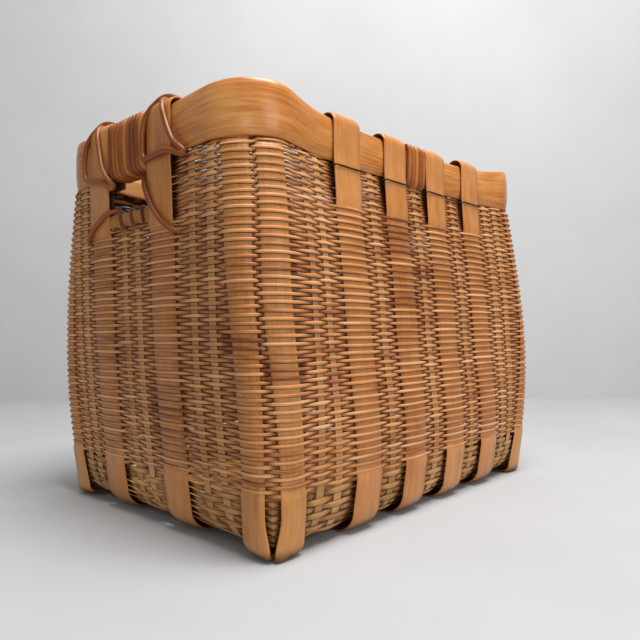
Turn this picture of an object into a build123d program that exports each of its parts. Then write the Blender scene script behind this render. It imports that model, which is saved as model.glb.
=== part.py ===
"""Open-topped basket of split bamboo, woven round wide strips, with a bent rim and two hand holes.

Millimetres. X runs along the long side, Y along the short side and Z up. The origin is on the floor
under the middle of the basket. The long faces look along -Y and +Y, the short faces along -X and +X.
"""
from build123d import *
from math import cos, pi, radians, sin, sqrt, tan
import os

os.makedirs("parts", exist_ok=True)

# Outline of the basket
foot_length = 464.0
foot_width = 348.0
foot_corner_radius = 8.0
rim_length = 518.0
rim_width = 346.0
rim_corner_radius = 58.0
rim_top = 410.0
swell_length = 8.5
swell_width = 18.0
swell_skew = 0.85
corner_growth = 0.6

# Weave
weave_thickness = 4.4
seam_height = 56.0
shoulder_drop = 10.0
shoulder_set_back = 2.0
weave_top_gap = 2.0
base_thickness = 3.4
tuck_depth = 22.0
tuck_height = 31.0

# Rim hoops
rim_height = 42.0
rim_thickness = 7.0
rim_crown = 1.4
rim_edge_radius = 4.0
inner_hoop_height = 23.0
inner_hoop_drop = 17.0
inner_hoop_thickness = 5.5
hoop_edge_radius = 2.0

# Strips
strip_thickness = 2.4
strip_proud = 0.5
long_band_width = 40.0
long_band_pitch = 81.0
long_band_offset = 8.0
long_band_exit_drop = 44.0
short_band_width = 42.0
short_band_pitch = 117.0
short_band_offset = 12.0
short_band_exit_drop = 65.0
band_bend = 26.0
band_ramp = 9.0
arch_gap = 6.0
tail_length = 58.0
slat_width = 28.0
slat_start = 6.5
slat_bend = 8.5
slat_top_gap = 2.0
slat_run_margin = 18.0
stake_width = 10.0
stake_thickness = 1.4

# Hand holes and their sills
hole_clearance = 1.0
hole_height = 47.0
sill_height = 16.0
sill_thickness = 9.0
sill_cord = 3.0
sill_turns = 3
sill_turn_pitch = 21.0

# Rattan cords and wire
grip_cord = 6.2
grip_turns = 9
side_cord = 5.6
side_turns = 5
tie_cord = 5.2
tie_bend = 14.0
lock_drops = (19.0, 13.0)
cord_hole_clearance = 1.2
wire = 1.2
wire_drop = 6.4

# Fits
fit = 0.3
layer_gap = 0.3

rim_bottom = rim_top - rim_height
shoulder_height = rim_bottom - shoulder_drop
long_band_exit = rim_bottom - long_band_exit_drop
short_band_exit = rim_bottom - short_band_exit_drop
sill_top = rim_bottom - hole_height
neck_height = rim_bottom - fit
neck_set_back = rim_thickness + fit
rim_stack = rim_thickness + weave_thickness + inner_hoop_thickness + 2 * fit
inner_hoop_top = rim_top - inner_hoop_drop
weave_top = inner_hoop_top - weave_top_gap
lower_layer = 0.0
upper_layer = lower_layer + strip_thickness + layer_gap
base_bottom = upper_layer + strip_thickness + layer_gap
base_top = base_bottom + base_thickness
strip_sunk = strip_thickness - strip_proud


# The wall leans and swells: half of each side at a height, and the corner's radius there

def share(z):
    """How far up the wall a height is, from 0 at the foot to 1 at the shoulder."""
    return min(max(z / shoulder_height, 0.0), 1.0)


def set_back(z):
    """How far the wall lies inside the rim's outer face, at and above the shoulder."""
    rise = min(max((z - shoulder_height) / (neck_height - shoulder_height), 0.0), 1.0)
    return shoulder_set_back + (neck_set_back - shoulder_set_back) * rise


def wall_half(foot, rim, swell, z):
    """Half of one side: a straight lean from foot to shoulder, plus a belly that is fullest low down."""
    if z > shoulder_height:
        return rim / 2 - set_back(z)
    t = share(z)
    lean = foot / 2 + (rim / 2 - shoulder_set_back - foot / 2) * t
    return lean + swell * sin(pi * t**swell_skew)


def half_length(z):
    return wall_half(foot_length, rim_length, swell_length, z)


def half_width(z):
    return wall_half(foot_width, rim_width, swell_width, z)


def corner_radius(z):
    """Radius of the wall's upright corner: sharp at the foot, round at the rim."""
    start = upper_layer + slat_bend
    rise = min(max((z - start) / (shoulder_height - start), 0.0), 1.0)
    top = rim_corner_radius - shoulder_set_back
    round_part = foot_corner_radius + (top - foot_corner_radius) * rise**corner_growth
    return round_part - (set_back(z) - shoulder_set_back)


def tuck(z):
    """How far the foot of the weave draws in under the basket: a quarter of an ellipse."""
    centre = base_top + tuck_height
    if z >= centre:
        return 0.0
    return tuck_depth * (1 - sqrt(1 - ((centre - z) / (tuck_height + fit)) ** 2))


def levels(low, high, count):
    """Heights at even steps from low to high."""
    return [low + (high - low) * i / count for i in range(count + 1)]


def ring_sections(heights, inset):
    """Rounded rectangles of the wall at these heights, drawn in by inset."""
    sections = []
    for z in heights:
        shrink = inset + tuck(z)
        with BuildSketch(Plane.XY.offset(z)) as ring:
            RectangleRounded(
                2 * (half_length(z) - shrink),
                2 * (half_width(z) - shrink),
                max(corner_radius(z) - shrink, foot_corner_radius / 3),
            )
        sections.append(ring.sketch)
    return sections


# Wide bands: up one face, over the rim, and under the base to the other face

def band_side(half, exit_height, low, bend, shift):
    """The run of a band up one face, from its bend to the rim, shifted outwards."""
    sunk = fit - strip_sunk - fit
    Spline(
        (half(low + bend) + fit + shift, low + bend),
        (half((low + bend + seam_height) / 2) + fit + shift, (low + bend + seam_height) / 2),
        (half(seam_height) + fit + shift, seam_height),
    )
    start = seam_height + band_ramp
    end = exit_height - band_ramp
    Line((half(seam_height) + fit + shift, seam_height), (half(start) + sunk + shift, start))
    Spline(*[(half(z) + sunk + shift, z) for z in levels(start, end, 5)])
    Line((half(end) + sunk + shift, end), (half(exit_height) + fit + shift, exit_height))


def band_face(plane, half, rim_half, exit_height, low):
    """Half of a band's section: base, bend, face, arch over the rim and the tail inside it."""
    thick = strip_thickness
    inside = half(low + band_bend) + fit
    rim_face = rim_half + fit
    tail_face = rim_half - rim_stack - fit
    middle = (rim_face + tail_face) / 2
    arch = (rim_face - tail_face) / 2
    spring = rim_top + arch_gap - arch
    tail = spring - tail_length
    with BuildSketch(plane) as face:
        with BuildLine():
            for shift, radius in ((0.0, band_bend - thick), (thick, band_bend)):
                floor_z = low + thick - shift
                turn = inside + shift - radius
                Line((0, floor_z), (turn, floor_z))
                RadiusArc((turn, floor_z), (inside + shift, low + band_bend), -radius)
                band_side(half, exit_height, low, band_bend, shift)
                Line(
                    (half(exit_height) + fit + shift, exit_height),
                    (rim_face + shift, rim_bottom - fit),
                )
                Line((rim_face + shift, rim_bottom - fit), (rim_face + shift, spring))
                ThreePointArc(
                    (rim_face + shift, spring),
                    (middle, spring + arch + shift),
                    (tail_face - shift, spring),
                )
                Line((tail_face - shift, spring), (tail_face - shift, tail))
            Line((0, low), (0, low + thick))
            Line((tail_face, tail), (tail_face - thick, tail))
        make_face()
    return face.sketch


def groove_face(plane, half, exit_height):
    """The slot in the fine weave that a band runs in."""
    open_side = max(half(z) for z in fine_levels) + 3 * strip_thickness
    low = lower_layer + band_bend
    with BuildSketch(plane) as face:
        with BuildLine():
            band_side(half, exit_height, lower_layer, band_bend, -fit)
            Line((half(low), low), (open_side, low))
            Line((open_side, low), (open_side, exit_height))
            Line((open_side, exit_height), (half(exit_height), exit_height))
        make_face()
    return face.sketch


def long_band_place(index):
    """Middle of a long band along X."""
    return long_band_offset + long_band_pitch * (index - 1.5)


def short_band_place(index):
    """Middle of a short band along Y."""
    return short_band_offset + short_band_pitch * (index - 0.5)


def across_x(place, width):
    """A plane that looks along +X, at the start of a piece of this width."""
    return Plane.YZ.offset(place - width / 2)


def across_y(place, width):
    """A plane that looks along -Y, at the start of a piece of this width."""
    return Plane.XZ.offset(-(place + width / 2))


# Corner slats: they follow the rounded corner, a fixed distance from its middle line

def corner_point(z, along, out, long_face):
    """A point on the corner at (+X, +Y), a distance along the wall from the corner's middle line."""
    radius = corner_radius(z)
    centre_x = half_length(z) - radius
    centre_y = half_width(z) - radius
    quarter = radius * pi / 4
    angle = pi / 4 + min(along, quarter) / radius
    straight = max(along - quarter, 0.0)
    if not long_face:
        angle = pi / 2 - angle
    x = centre_x + (radius + out) * cos(angle)
    y = centre_y + (radius + out) * sin(angle)
    return (x - straight, y) if long_face else (x, y - straight)


def slat_stations(low, top):
    """Heights and outward offsets of a slat's inner face, from its bend to behind the rim."""
    bend_top = low + slat_bend
    ramp_top = seam_height + band_ramp
    bare = [(z, fit) for z in levels(bend_top, seam_height, 3)]
    woven = [(z, -strip_sunk) for z in levels(ramp_top, shoulder_height, 7)]
    return bare + woven + [(top, -strip_sunk)]


def slat_sections(low, long_face, grow, depth):
    """Level sections of a slat's standing part, or with grow of the slot that it needs."""
    sections = []
    top = neck_height if grow else neck_height - slat_top_gap
    for z, inner in slat_stations(low, top):
        start = slat_start - grow
        end = slat_start + slat_width + grow
        inner -= grow if z <= seam_height else 0.0
        along = levels(start, end, 6)
        inside = [corner_point(z, s, inner - grow, long_face) for s in along]
        outside = [corner_point(z, s, inner + depth, long_face) for s in along]
        with BuildSketch(Plane.XY.offset(z)) as level:
            with BuildLine():
                Spline(*inside)
                Line(inside[-1], outside[-1])
                Spline(*outside)
                Line(inside[0], outside[0])
            make_face()
        sections.append(level.sketch)
    return sections


def slat_inner_edge(low, half):
    """Where the slat's edge nearer the corner lies on the straight of the other axis."""
    z = low + slat_bend
    return half(z) - foot_corner_radius - (slat_start - foot_corner_radius * pi / 4)


def slat_bend_face(plane, half, low, run):
    """The quarter turn at a slat's foot, and the run towards the middle of the base."""
    face = half(low + slat_bend) + fit + strip_thickness
    turn = face - slat_bend
    with BuildSketch(plane) as bend:
        with BuildLine():
            RadiusArc((turn, low), (face, low + slat_bend), -slat_bend)
            RadiusArc(
                (turn, low + strip_thickness),
                (face - strip_thickness, low + slat_bend),
                strip_thickness - slat_bend,
            )
            Line((turn, low), (turn - run, low))
            Line((turn - run, low), (turn - run, low + strip_thickness))
            Line((turn - run, low + strip_thickness), (turn, low + strip_thickness))
            Line((face, low + slat_bend), (face - strip_thickness, low + slat_bend))
        make_face()
    return bend.sketch


def slat_turn(half, low):
    """Where a slat's bend begins, from the middle of the basket."""
    return half(low + slat_bend) + fit + strip_thickness - slat_bend


# Side weave: the fine rows, closed round, clamped at the top between the two hoops

hole_width = short_band_pitch - short_band_width + 2 * hole_clearance
sill_cord_room = sill_cord + 2 * fit
fine_levels = levels(seam_height, shoulder_height, 8)
neck_levels = [shoulder_height, neck_height, weave_top]
side_slot_width = long_band_pitch - long_band_width + 2 * fit
lock_side = short_band_width / 2 + 7.0
lock_heights = [short_band_exit - drop for drop in lock_drops]

with BuildPart() as long_slots:
    for index in range(4):
        start = across_x(long_band_place(index), long_band_width + 2 * fit)
        extrude(groove_face(start, half_width, long_band_exit), long_band_width + 2 * fit)
    mirror(about=Plane.XZ)

with BuildPart() as short_slots:
    for index in range(2):
        start = across_y(short_band_place(index), short_band_width + 2 * fit)
        extrude(groove_face(start, half_length, short_band_exit), short_band_width + 2 * fit)
    mirror(about=Plane.YZ)

with BuildPart() as slat_slots:
    loft(slat_sections(lower_layer, True, fit, 3 * strip_thickness), ruled=True)
    loft(slat_sections(upper_layer, False, fit, 3 * strip_thickness), ruled=True)
    mirror(about=Plane.XZ)
    mirror(about=Plane.YZ)

with BuildPart() as side_weave:
    loft(ring_sections(fine_levels, 0))
    loft(ring_sections(neck_levels, 0), ruled=True)
    loft(ring_sections(fine_levels, weave_thickness), mode=Mode.SUBTRACT)
    loft(ring_sections(neck_levels, weave_thickness), ruled=True, mode=Mode.SUBTRACT)
    add(long_slots.part, mode=Mode.SUBTRACT)
    add(short_slots.part, mode=Mode.SUBTRACT)
    add(slat_slots.part, mode=Mode.SUBTRACT)
    hole_bottom = sill_top - sill_height - sill_cord_room
    with Locations((0, short_band_offset, hole_bottom)):
        Box(
            2 * rim_length,
            hole_width,
            rim_bottom - hole_bottom,
            align=(Align.CENTER, Align.CENTER, Align.MIN),
            mode=Mode.SUBTRACT,
        )
    with Locations((long_band_offset, 0, rim_bottom - side_cord - 3 * fit)):
        Box(
            side_slot_width,
            2 * rim_width,
            side_cord + 3 * fit,
            align=(Align.CENTER, Align.CENTER, Align.MIN),
            mode=Mode.SUBTRACT,
        )
    for side, height in zip((-1, 1), lock_heights):
        place = short_band_offset + side * (short_band_pitch / 2 + lock_side)
        with Locations(Location((0, place, height), (0, 90, 0))):
            Cylinder(
                tie_cord / 2 + cord_hole_clearance,
                2 * rim_length,
                mode=Mode.SUBTRACT,
            )

side_weave.part.label = "side_weave"
export_step(side_weave.part, "parts/side_weave.step")

# Foot weave: the coarse rows, drawn in under the basket to meet the bottom

foot_levels = levels(base_top, base_top + tuck_height, 6) + [seam_height]

with BuildPart() as foot_weave:
    loft(ring_sections(foot_levels, 0), ruled=True)
    loft(ring_sections(foot_levels, weave_thickness), ruled=True, mode=Mode.SUBTRACT)

foot_weave.part.label = "foot_weave"
export_step(foot_weave.part, "parts/foot_weave.step")

# Base weave: the flat bottom that the foot weave stands on

with BuildPart() as base_weave:
    with BuildSketch(Plane.XY.offset(base_bottom)):
        RectangleRounded(
            2 * (half_length(base_top) - tuck(base_top)),
            2 * (half_width(base_top) - tuck(base_top)),
            foot_corner_radius / 3,
        )
    extrude(amount=base_thickness)

base_weave.part.label = "base_weave"
export_step(base_weave.part, "parts/base_weave.step")

# Long bands

for index in range(4):
    place = long_band_place(index)
    with BuildPart() as long_band:
        start = across_x(place, long_band_width)
        section = band_face(start, half_width, rim_width / 2, long_band_exit, lower_layer)
        extrude(section, long_band_width)
        mirror(about=Plane.XZ)
    long_band.part.label = f"long_band_{index + 1}"
    export_step(long_band.part, f"parts/long_band_{index + 1}.step")

# Short bands

for index, name in enumerate(("front", "back")):
    place = short_band_place(index)
    with BuildPart() as short_band:
        start = across_y(place, short_band_width)
        section = band_face(start, half_length, rim_length / 2, short_band_exit, upper_layer)
        extrude(section, short_band_width)
        mirror(about=Plane.YZ)
    short_band.part.label = f"short_band_{name}"
    export_step(short_band.part, f"parts/short_band_{name}.step")

# Corner slats that stand on the long faces and run under the base along Y

with BuildPart() as corner_slat_right:
    loft(slat_sections(lower_layer, True, 0, strip_thickness), ruled=True)
    edge = slat_inner_edge(lower_layer, half_length)
    start = across_x(edge - slat_width / 2, slat_width)
    run = slat_turn(half_width, lower_layer)
    extrude(slat_bend_face(start, half_width, lower_layer, run), slat_width)
    mirror(about=Plane.XZ)

corner_slat_right.part.label = "corner_slat_right"
export_step(corner_slat_right.part, "parts/corner_slat_right.step")

with BuildPart() as corner_slat_left:
    add(corner_slat_right.part.mirror(Plane.YZ))

corner_slat_left.part.label = "corner_slat_left"
export_step(corner_slat_left.part, "parts/corner_slat_left.step")

# Corner slats that stand on the short faces and run under the base along X, inside the long bands

with BuildPart() as corner_slat_back:
    loft(slat_sections(upper_layer, False, 0, strip_thickness), ruled=True)
    edge = slat_inner_edge(upper_layer, half_width)
    start = across_y(edge - slat_width / 2, slat_width)
    extrude(slat_bend_face(start, half_length, upper_layer, fit), slat_width)
    turn = slat_turn(half_length, upper_layer)
    last_band = long_band_place(3) + long_band_width / 2
    bend_centre = half_width(lower_layer + band_bend) + fit + strip_thickness - band_bend
    reach = sqrt((band_bend - strip_thickness) ** 2 - (band_bend - upper_layer) ** 2)
    narrow = min(edge, bend_centre + reach - fit)
    with BuildSketch(Plane.XY.offset(upper_layer)):
        with BuildLine():
            Polyline(
                (0, edge - slat_width),
                (0, narrow),
                (last_band + slat_run_margin, narrow),
                (turn - slat_run_margin / 2, edge),
                (turn, edge),
                (turn, edge - slat_width),
                close=True,
            )
        make_face()
    extrude(amount=strip_thickness)
    mirror(about=Plane.YZ)

corner_slat_back.part.label = "corner_slat_back"
export_step(corner_slat_back.part, "parts/corner_slat_back.step")

with BuildPart() as corner_slat_front:
    add(corner_slat_back.part.mirror(Plane.XZ))

corner_slat_front.part.label = "corner_slat_front"
export_step(corner_slat_front.part, "parts/corner_slat_front.step")

# Narrow stakes, which stand against the inside of the weave

def turned_in(z, reach, other_half):
    """How far the rounded corner has turned the inside of the wall in at this reach along it."""
    radius = corner_radius(z) - weave_thickness
    past = reach - (other_half(z) - corner_radius(z))
    if past <= 0 or tuck(z) > 0:
        return 0.0
    return radius - sqrt(radius**2 - past**2)


def stake_seat(half, z, reach, other_half):
    """Distance from the middle of the basket to a stake's outer face."""
    return half(z) - tuck(z) - turned_in(z, reach, other_half) - weave_thickness - fit


def stake_face(plane, half, top, reach=0.0, other_half=half_width):
    """Section of a stake that follows the inside of the wall from the base to a height."""
    foot = [z for z in foot_levels if z < seam_height]
    wall = levels(seam_height, min(top, shoulder_height), 5)
    with BuildSketch(plane) as face:
        with BuildLine():
            for shift in (0.0, stake_thickness):
                points = [(stake_seat(half, z, reach, other_half) - shift, z) for z in foot + wall]
                Polyline(*points[: len(foot) + 1])
                Spline(*points[len(foot):])
            for z in (foot[0], wall[-1]):
                seat = stake_seat(half, z, reach, other_half)
                Line((seat, z), (seat - stake_thickness, z))
        make_face()
    return face.sketch


def between(low, high, count):
    """Places of a number of stakes, evenly spaced in the gap from low to high."""
    return [low + (high - low) * (i + 1) / (count + 1) for i in range(count)]


slat_reach = slat_start + slat_width
long_gap_edge = half_length(seam_height) - slat_reach
short_gap_edge = half_width(seam_height) - slat_reach
long_edges = [long_band_place(i) + s * long_band_width / 2 for i in range(4) for s in (-1, 1)]
short_edges = [short_band_place(i) + s * short_band_width / 2 for i in range(2) for s in (-1, 1)]
long_stakes = (
    between(-long_gap_edge, long_edges[0], 2)
    + between(long_edges[1], long_edges[2], 1)
    + between(long_edges[3], long_edges[4], 1)
    + between(long_edges[5], long_edges[6], 1)
    + between(long_edges[7], long_gap_edge, 2)
)
short_outer_stakes = between(-short_gap_edge, short_edges[0], 2) + between(
    short_edges[3], short_gap_edge, 2
)
short_middle_stakes = between(short_edges[1], short_edges[2], 2)

with BuildPart() as narrow_stakes_back:
    for place in long_stakes:
        start = across_x(place, stake_width)
        extrude(stake_face(start, half_width, shoulder_height), stake_width)

narrow_stakes_back.part.label = "narrow_stakes_back"
export_step(narrow_stakes_back.part, "parts/narrow_stakes_back.step")

with BuildPart() as narrow_stakes_front:
    add(narrow_stakes_back.part.mirror(Plane.XZ))

narrow_stakes_front.part.label = "narrow_stakes_front"
export_step(narrow_stakes_front.part, "parts/narrow_stakes_front.step")

with BuildPart() as narrow_stakes_right:
    for place in short_outer_stakes:
        start = across_y(place, stake_width)
        reach = abs(place) + stake_width / 2 + fit
        section = stake_face(start, half_length, shoulder_height, reach)
        extrude(section, stake_width)
    for place in short_middle_stakes:
        start = across_y(place, stake_width)
        extrude(stake_face(start, half_length, hole_bottom - fit), stake_width)

narrow_stakes_right.part.label = "narrow_stakes_right"
export_step(narrow_stakes_right.part, "parts/narrow_stakes_right.step")

with BuildPart() as narrow_stakes_left:
    add(narrow_stakes_right.part.mirror(Plane.YZ))

narrow_stakes_left.part.label = "narrow_stakes_left"
export_step(narrow_stakes_left.part, "parts/narrow_stakes_left.step")

# Rim hoops, each a section carried round a rounded rectangle

def rounded_loop(length, width, radius, z):
    """A rounded rectangle that starts at the middle of its front side."""
    a, b = length / 2, width / 2
    Line((0, -b, z), (a - radius, -b, z))
    CenterArc((a - radius, radius - b, z), radius, -90, 90)
    Line((a, radius - b, z), (a, b - radius, z))
    CenterArc((a - radius, b - radius, z), radius, 0, 90)
    Line((a - radius, b, z), (radius - a, b, z))
    CenterArc((radius - a, b - radius, z), radius, 90, 90)
    Line((-a, b - radius, z), (-a, radius - b, z))
    CenterArc((radius - a, radius - b, z), radius, 180, 90)
    Line((radius - a, -b, z), (0, -b, z))


with BuildPart() as rim_outer_hoop:
    with BuildLine() as outer_loop:
        rounded_loop(rim_length, rim_width, rim_corner_radius, rim_bottom)
    outer_plane = Plane(
        origin=(0, -rim_width / 2, rim_bottom), x_dir=(0, -1, 0), z_dir=(-1, 0, 0)
    )
    with BuildSketch(outer_plane) as outer_section:
        with BuildLine():
            ThreePointArc((-rim_crown, 0), (0, rim_height / 2), (-rim_crown, rim_height))
            Line((-rim_crown, rim_height), (-rim_thickness, rim_height))
            Line((-rim_thickness, rim_height), (-rim_thickness, 0))
            Line((-rim_thickness, 0), (-rim_crown, 0))
        make_face()
        outer_edges = outer_section.vertices().group_by(Axis.X)[-1]
        fillet(outer_edges.sort_by(Axis.Y)[-1], radius=rim_edge_radius)
        fillet(outer_section.vertices().sort_by(Axis.Y)[:2].sort_by(Axis.X)[-1], hoop_edge_radius)
    sweep(path=outer_loop.wires()[0])

rim_outer_hoop.part.label = "rim_outer_hoop"
export_step(rim_outer_hoop.part, "parts/rim_outer_hoop.step")

inner_set_back = rim_thickness + weave_thickness + 2 * fit
inner_loop_length = rim_length - 2 * inner_set_back
inner_loop_width = rim_width - 2 * inner_set_back
inner_hoop_bottom = inner_hoop_top - inner_hoop_height

with BuildPart() as rim_inner_hoop:
    with BuildLine() as inner_loop:
        rounded_loop(
            inner_loop_length,
            inner_loop_width,
            rim_corner_radius - inner_set_back,
            inner_hoop_bottom,
        )
    inner_plane = Plane(
        origin=(0, -inner_loop_width / 2, inner_hoop_bottom), x_dir=(0, -1, 0), z_dir=(-1, 0, 0)
    )
    with BuildSketch(inner_plane):
        with Locations((-inner_hoop_thickness / 2, inner_hoop_height / 2)):
            RectangleRounded(inner_hoop_thickness, inner_hoop_height, hoop_edge_radius)
    sweep(path=inner_loop.wires()[0])

rim_inner_hoop.part.label = "rim_inner_hoop"
export_step(rim_inner_hoop.part, "parts/rim_inner_hoop.step")

# Windings: one unbroken cord round the rim, or round the sill, a step along it at each corner

def winding_points(section, turns, low, high):
    """Corners of a winding: the section's points again and again, moved on evenly from low to high."""
    corners = section * turns + section[:1]
    step = (high - low) / (len(corners) - 1)
    return [(u, low + step * i, z) for i, (u, z) in enumerate(corners)]


def least_gap(path, cord):
    """Least gap between the turns of a cord, measured on points along it."""
    count = int(path.length / (cord / 3))
    points = [path @ (i / count) for i in range(count + 1)]
    apart = int(3 * pi * cord / (cord / 3))
    nearest = min(
        (points[i] - points[j]).length
        for i in range(0, len(points), 2)
        for j in range(i + apart, len(points), 2)
    )
    return nearest - cord


def wind(points, cord, bend, name):
    """Sweep a round cord along straight runs joined by quarter turns."""
    with BuildLine() as path:
        FilletPolyline(*points, radius=bend)
    route = path.wires()[0]
    with BuildSketch(Plane(origin=route @ 0, z_dir=route % 0)) as ring:
        Circle(cord / 2)
    sweep(ring.sketch, path=route)
    print(name, "length", round(route.length, 1), "least gap", round(least_gap(route, cord), 2))


def rim_section(half_rim, cord):
    """Corners of a cord's route round the two hoops, seen along the side."""
    out = cord / 2 + fit
    top = rim_top + out + fit
    lean = half_rim - rim_thickness - cord / 2
    return [
        (half_rim + out, rim_bottom - out),
        (half_rim + out, top),
        (lean, top),
        (half_rim - rim_stack - out, inner_hoop_top + out + fit),
        (half_rim - rim_stack - out, rim_bottom - out),
    ]


grip_reach = (short_band_pitch - short_band_width) / 2 - grip_cord / 2 - fit
side_reach = (long_band_pitch - long_band_width) / 2 - side_cord / 2 - fit

with BuildPart() as grip_lashing_right:
    wind(
        winding_points(
            rim_section(rim_length / 2, grip_cord),
            grip_turns,
            short_band_offset - grip_reach,
            short_band_offset + grip_reach,
        ),
        grip_cord,
        grip_cord,
        "grip lashing",
    )

grip_lashing_right.part.label = "grip_lashing_right"
export_step(grip_lashing_right.part, "parts/grip_lashing_right.step")

with BuildPart() as grip_lashing_left:
    add(grip_lashing_right.part.mirror(Plane.YZ))

grip_lashing_left.part.label = "grip_lashing_left"
export_step(grip_lashing_left.part, "parts/grip_lashing_left.step")

with BuildPart() as side_lashing_back:
    turned = winding_points(
        rim_section(rim_width / 2, side_cord),
        side_turns,
        long_band_offset - side_reach,
        long_band_offset + side_reach,
    )
    wind([(x, y, z) for y, x, z in turned], side_cord, side_cord, "side lashing")

side_lashing_back.part.label = "side_lashing_back"
export_step(side_lashing_back.part, "parts/side_lashing_back.step")

with BuildPart() as side_lashing_front:
    add(side_lashing_back.part.mirror(Plane.XZ))

side_lashing_front.part.label = "side_lashing_front"
export_step(side_lashing_front.part, "parts/side_lashing_front.step")

# Hand-hole sills: a flat strip between the two bands, bound by a narrow cord

sill_length = short_band_pitch - short_band_width - 2 * fit
sill_middle = half_length(sill_top) - weave_thickness / 2

with BuildPart() as hand_sill_right:
    with BuildSketch(across_y(short_band_offset, sill_length)):
        with Locations((sill_middle, sill_top - sill_height / 2)):
            RectangleRounded(sill_thickness, sill_height, sill_thickness / 2 - fit)
    extrude(amount=sill_length)

hand_sill_right.part.label = "hand_sill_right"
export_step(hand_sill_right.part, "parts/hand_sill_right.step")

with BuildPart() as hand_sill_left:
    add(hand_sill_right.part.mirror(Plane.YZ))

hand_sill_left.part.label = "hand_sill_left"
export_step(hand_sill_left.part, "parts/hand_sill_left.step")

with BuildPart() as sill_cord_right:
    out = sill_cord / 2 + fit
    sides = (sill_middle + sill_thickness / 2 + out, sill_middle - sill_thickness / 2 - out)
    heights = (sill_top - sill_height - out, sill_top + out)
    wind(
        winding_points(
            [
                (sides[0], heights[0]),
                (sides[0], heights[1]),
                (sides[1], heights[1]),
                (sides[1], heights[0]),
            ],
            sill_turns,
            short_band_offset - sill_turn_pitch * sill_turns / 2,
            short_band_offset + sill_turn_pitch * sill_turns / 2,
        ),
        sill_cord,
        sill_cord,
        "sill cord",
    )

sill_cord_right.part.label = "sill_cord_right"
export_step(sill_cord_right.part, "parts/sill_cord_right.step")

with BuildPart() as sill_cord_left:
    add(sill_cord_right.part.mirror(Plane.YZ))

sill_cord_left.part.label = "sill_cord_left"
export_step(sill_cord_left.part, "parts/sill_cord_left.step")

# Band ties and lock cords. A tie's points are (outwards from the rim, from the band towards
# the corner, height) and a lock's are (outwards from the band's face, towards the corner, height),
# chosen by hand, and a radius is as large as the two runs allow

def cord_radii(points, limits):
    """Radius at each corner of a cord's route, no larger than its limit where it has one."""
    places = [Vector(*p) for p in points]
    radii = []
    for i in range(1, len(places) - 1):
        before = places[i] - places[i - 1]
        after = places[i + 1] - places[i]
        turn = radians(before.get_angle(after))
        room = 0.45 * min(before.length, after.length) / tan(turn / 2)
        radii.append(min(room, limits.get(i, room)))
    return radii


def lay_cord(points, cord, limits, name):
    """Sweep a round cord along its route and report its radii and its volume."""
    radii = cord_radii(points, limits)
    with BuildLine() as path:
        FilletPolyline(*points, radius=radii)
    route = path.wires()[0]
    with BuildSketch(Plane(origin=route @ 0, z_dir=route % 0)) as ring:
        Circle(cord / 2)
    sweep(ring.sketch, path=route)
    print(name, "length", round(route.length, 1), "radii", [round(r, 1) for r in radii])
    print(name, "section times length", round(ring.sketch.area * route.length))


def at_band(points, side):
    """Points of a short band's cord at the right-hand face, for the band on this side of the hole."""
    middle = short_band_offset + side * short_band_pitch / 2
    return [(rim_length / 2 + u, middle + side * v, z) for u, v, z in points]


def band_skin(z):
    """Outer face of a short band at a height below the rim, from the middle of the basket."""
    if z >= short_band_exit:
        rise = min((z - short_band_exit) / (neck_height - short_band_exit), 1.0)
        inside = half_length(short_band_exit) * (1 - rise) + rim_length / 2 * rise
        return inside + fit + strip_thickness
    rise = max((z - short_band_exit + band_ramp) / band_ramp, 0.0)
    return half_length(z) + fit * rise - strip_sunk * (1 - rise) + strip_thickness


def on_band(points, side):
    """Points of a cord at the right-hand face that are given by their distance from the band's face."""
    return at_band([(band_skin(z) + lift - rim_length / 2, v, z) for lift, v, z in points], side)


over_arch = rim_top + arch_gap + strip_thickness + fit + tie_cord / 2
over_band = strip_thickness + 2 * fit + tie_cord / 2
inside_tail = -rim_stack - strip_thickness - 2 * fit - tie_cord / 2
edge = short_band_width / 2
tie_points = [
    (inside_tail, -9.0, rim_top - 24.0),
    (inside_tail, -5.0, over_arch),
    (over_band, 7.0, over_arch),
    (over_band, edge + 9.0, rim_bottom - 3.0),
    (over_band, edge - 4.0, rim_bottom - 9.0),
    (over_band, -edge - 3.0, rim_bottom - 14.0),
    (-8.0, -edge - 9.0, rim_bottom - 17.0),
]
lock_points = {
    -1: [
        (-10.8, -edge - 8.0, rim_bottom - 25.0),
        (3.3, -edge - 4.0, rim_bottom - 30.0),
        (3.3, -14.0, rim_bottom - 50.0),
        (3.6, 3.0, lock_heights[0] + 18.0),
        (5.1, edge - 3.0, lock_heights[0] + 6.0),
        (3.0, lock_side, lock_heights[0]),
        (-7.8, lock_side, lock_heights[0]),
    ],
    1: [
        (-10.4, -edge - 8.0, sill_top + 12.0),
        (3.3, -edge - 4.0, sill_top + 10.0),
        (3.2, -12.0, sill_top - 1.0),
        (3.1, 3.0, sill_top - 13.0),
        (4.5, edge - 3.0, lock_heights[1] + 6.0),
        (2.9, lock_side, lock_heights[1]),
        (-7.9, lock_side, lock_heights[1]),
    ],
}

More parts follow.
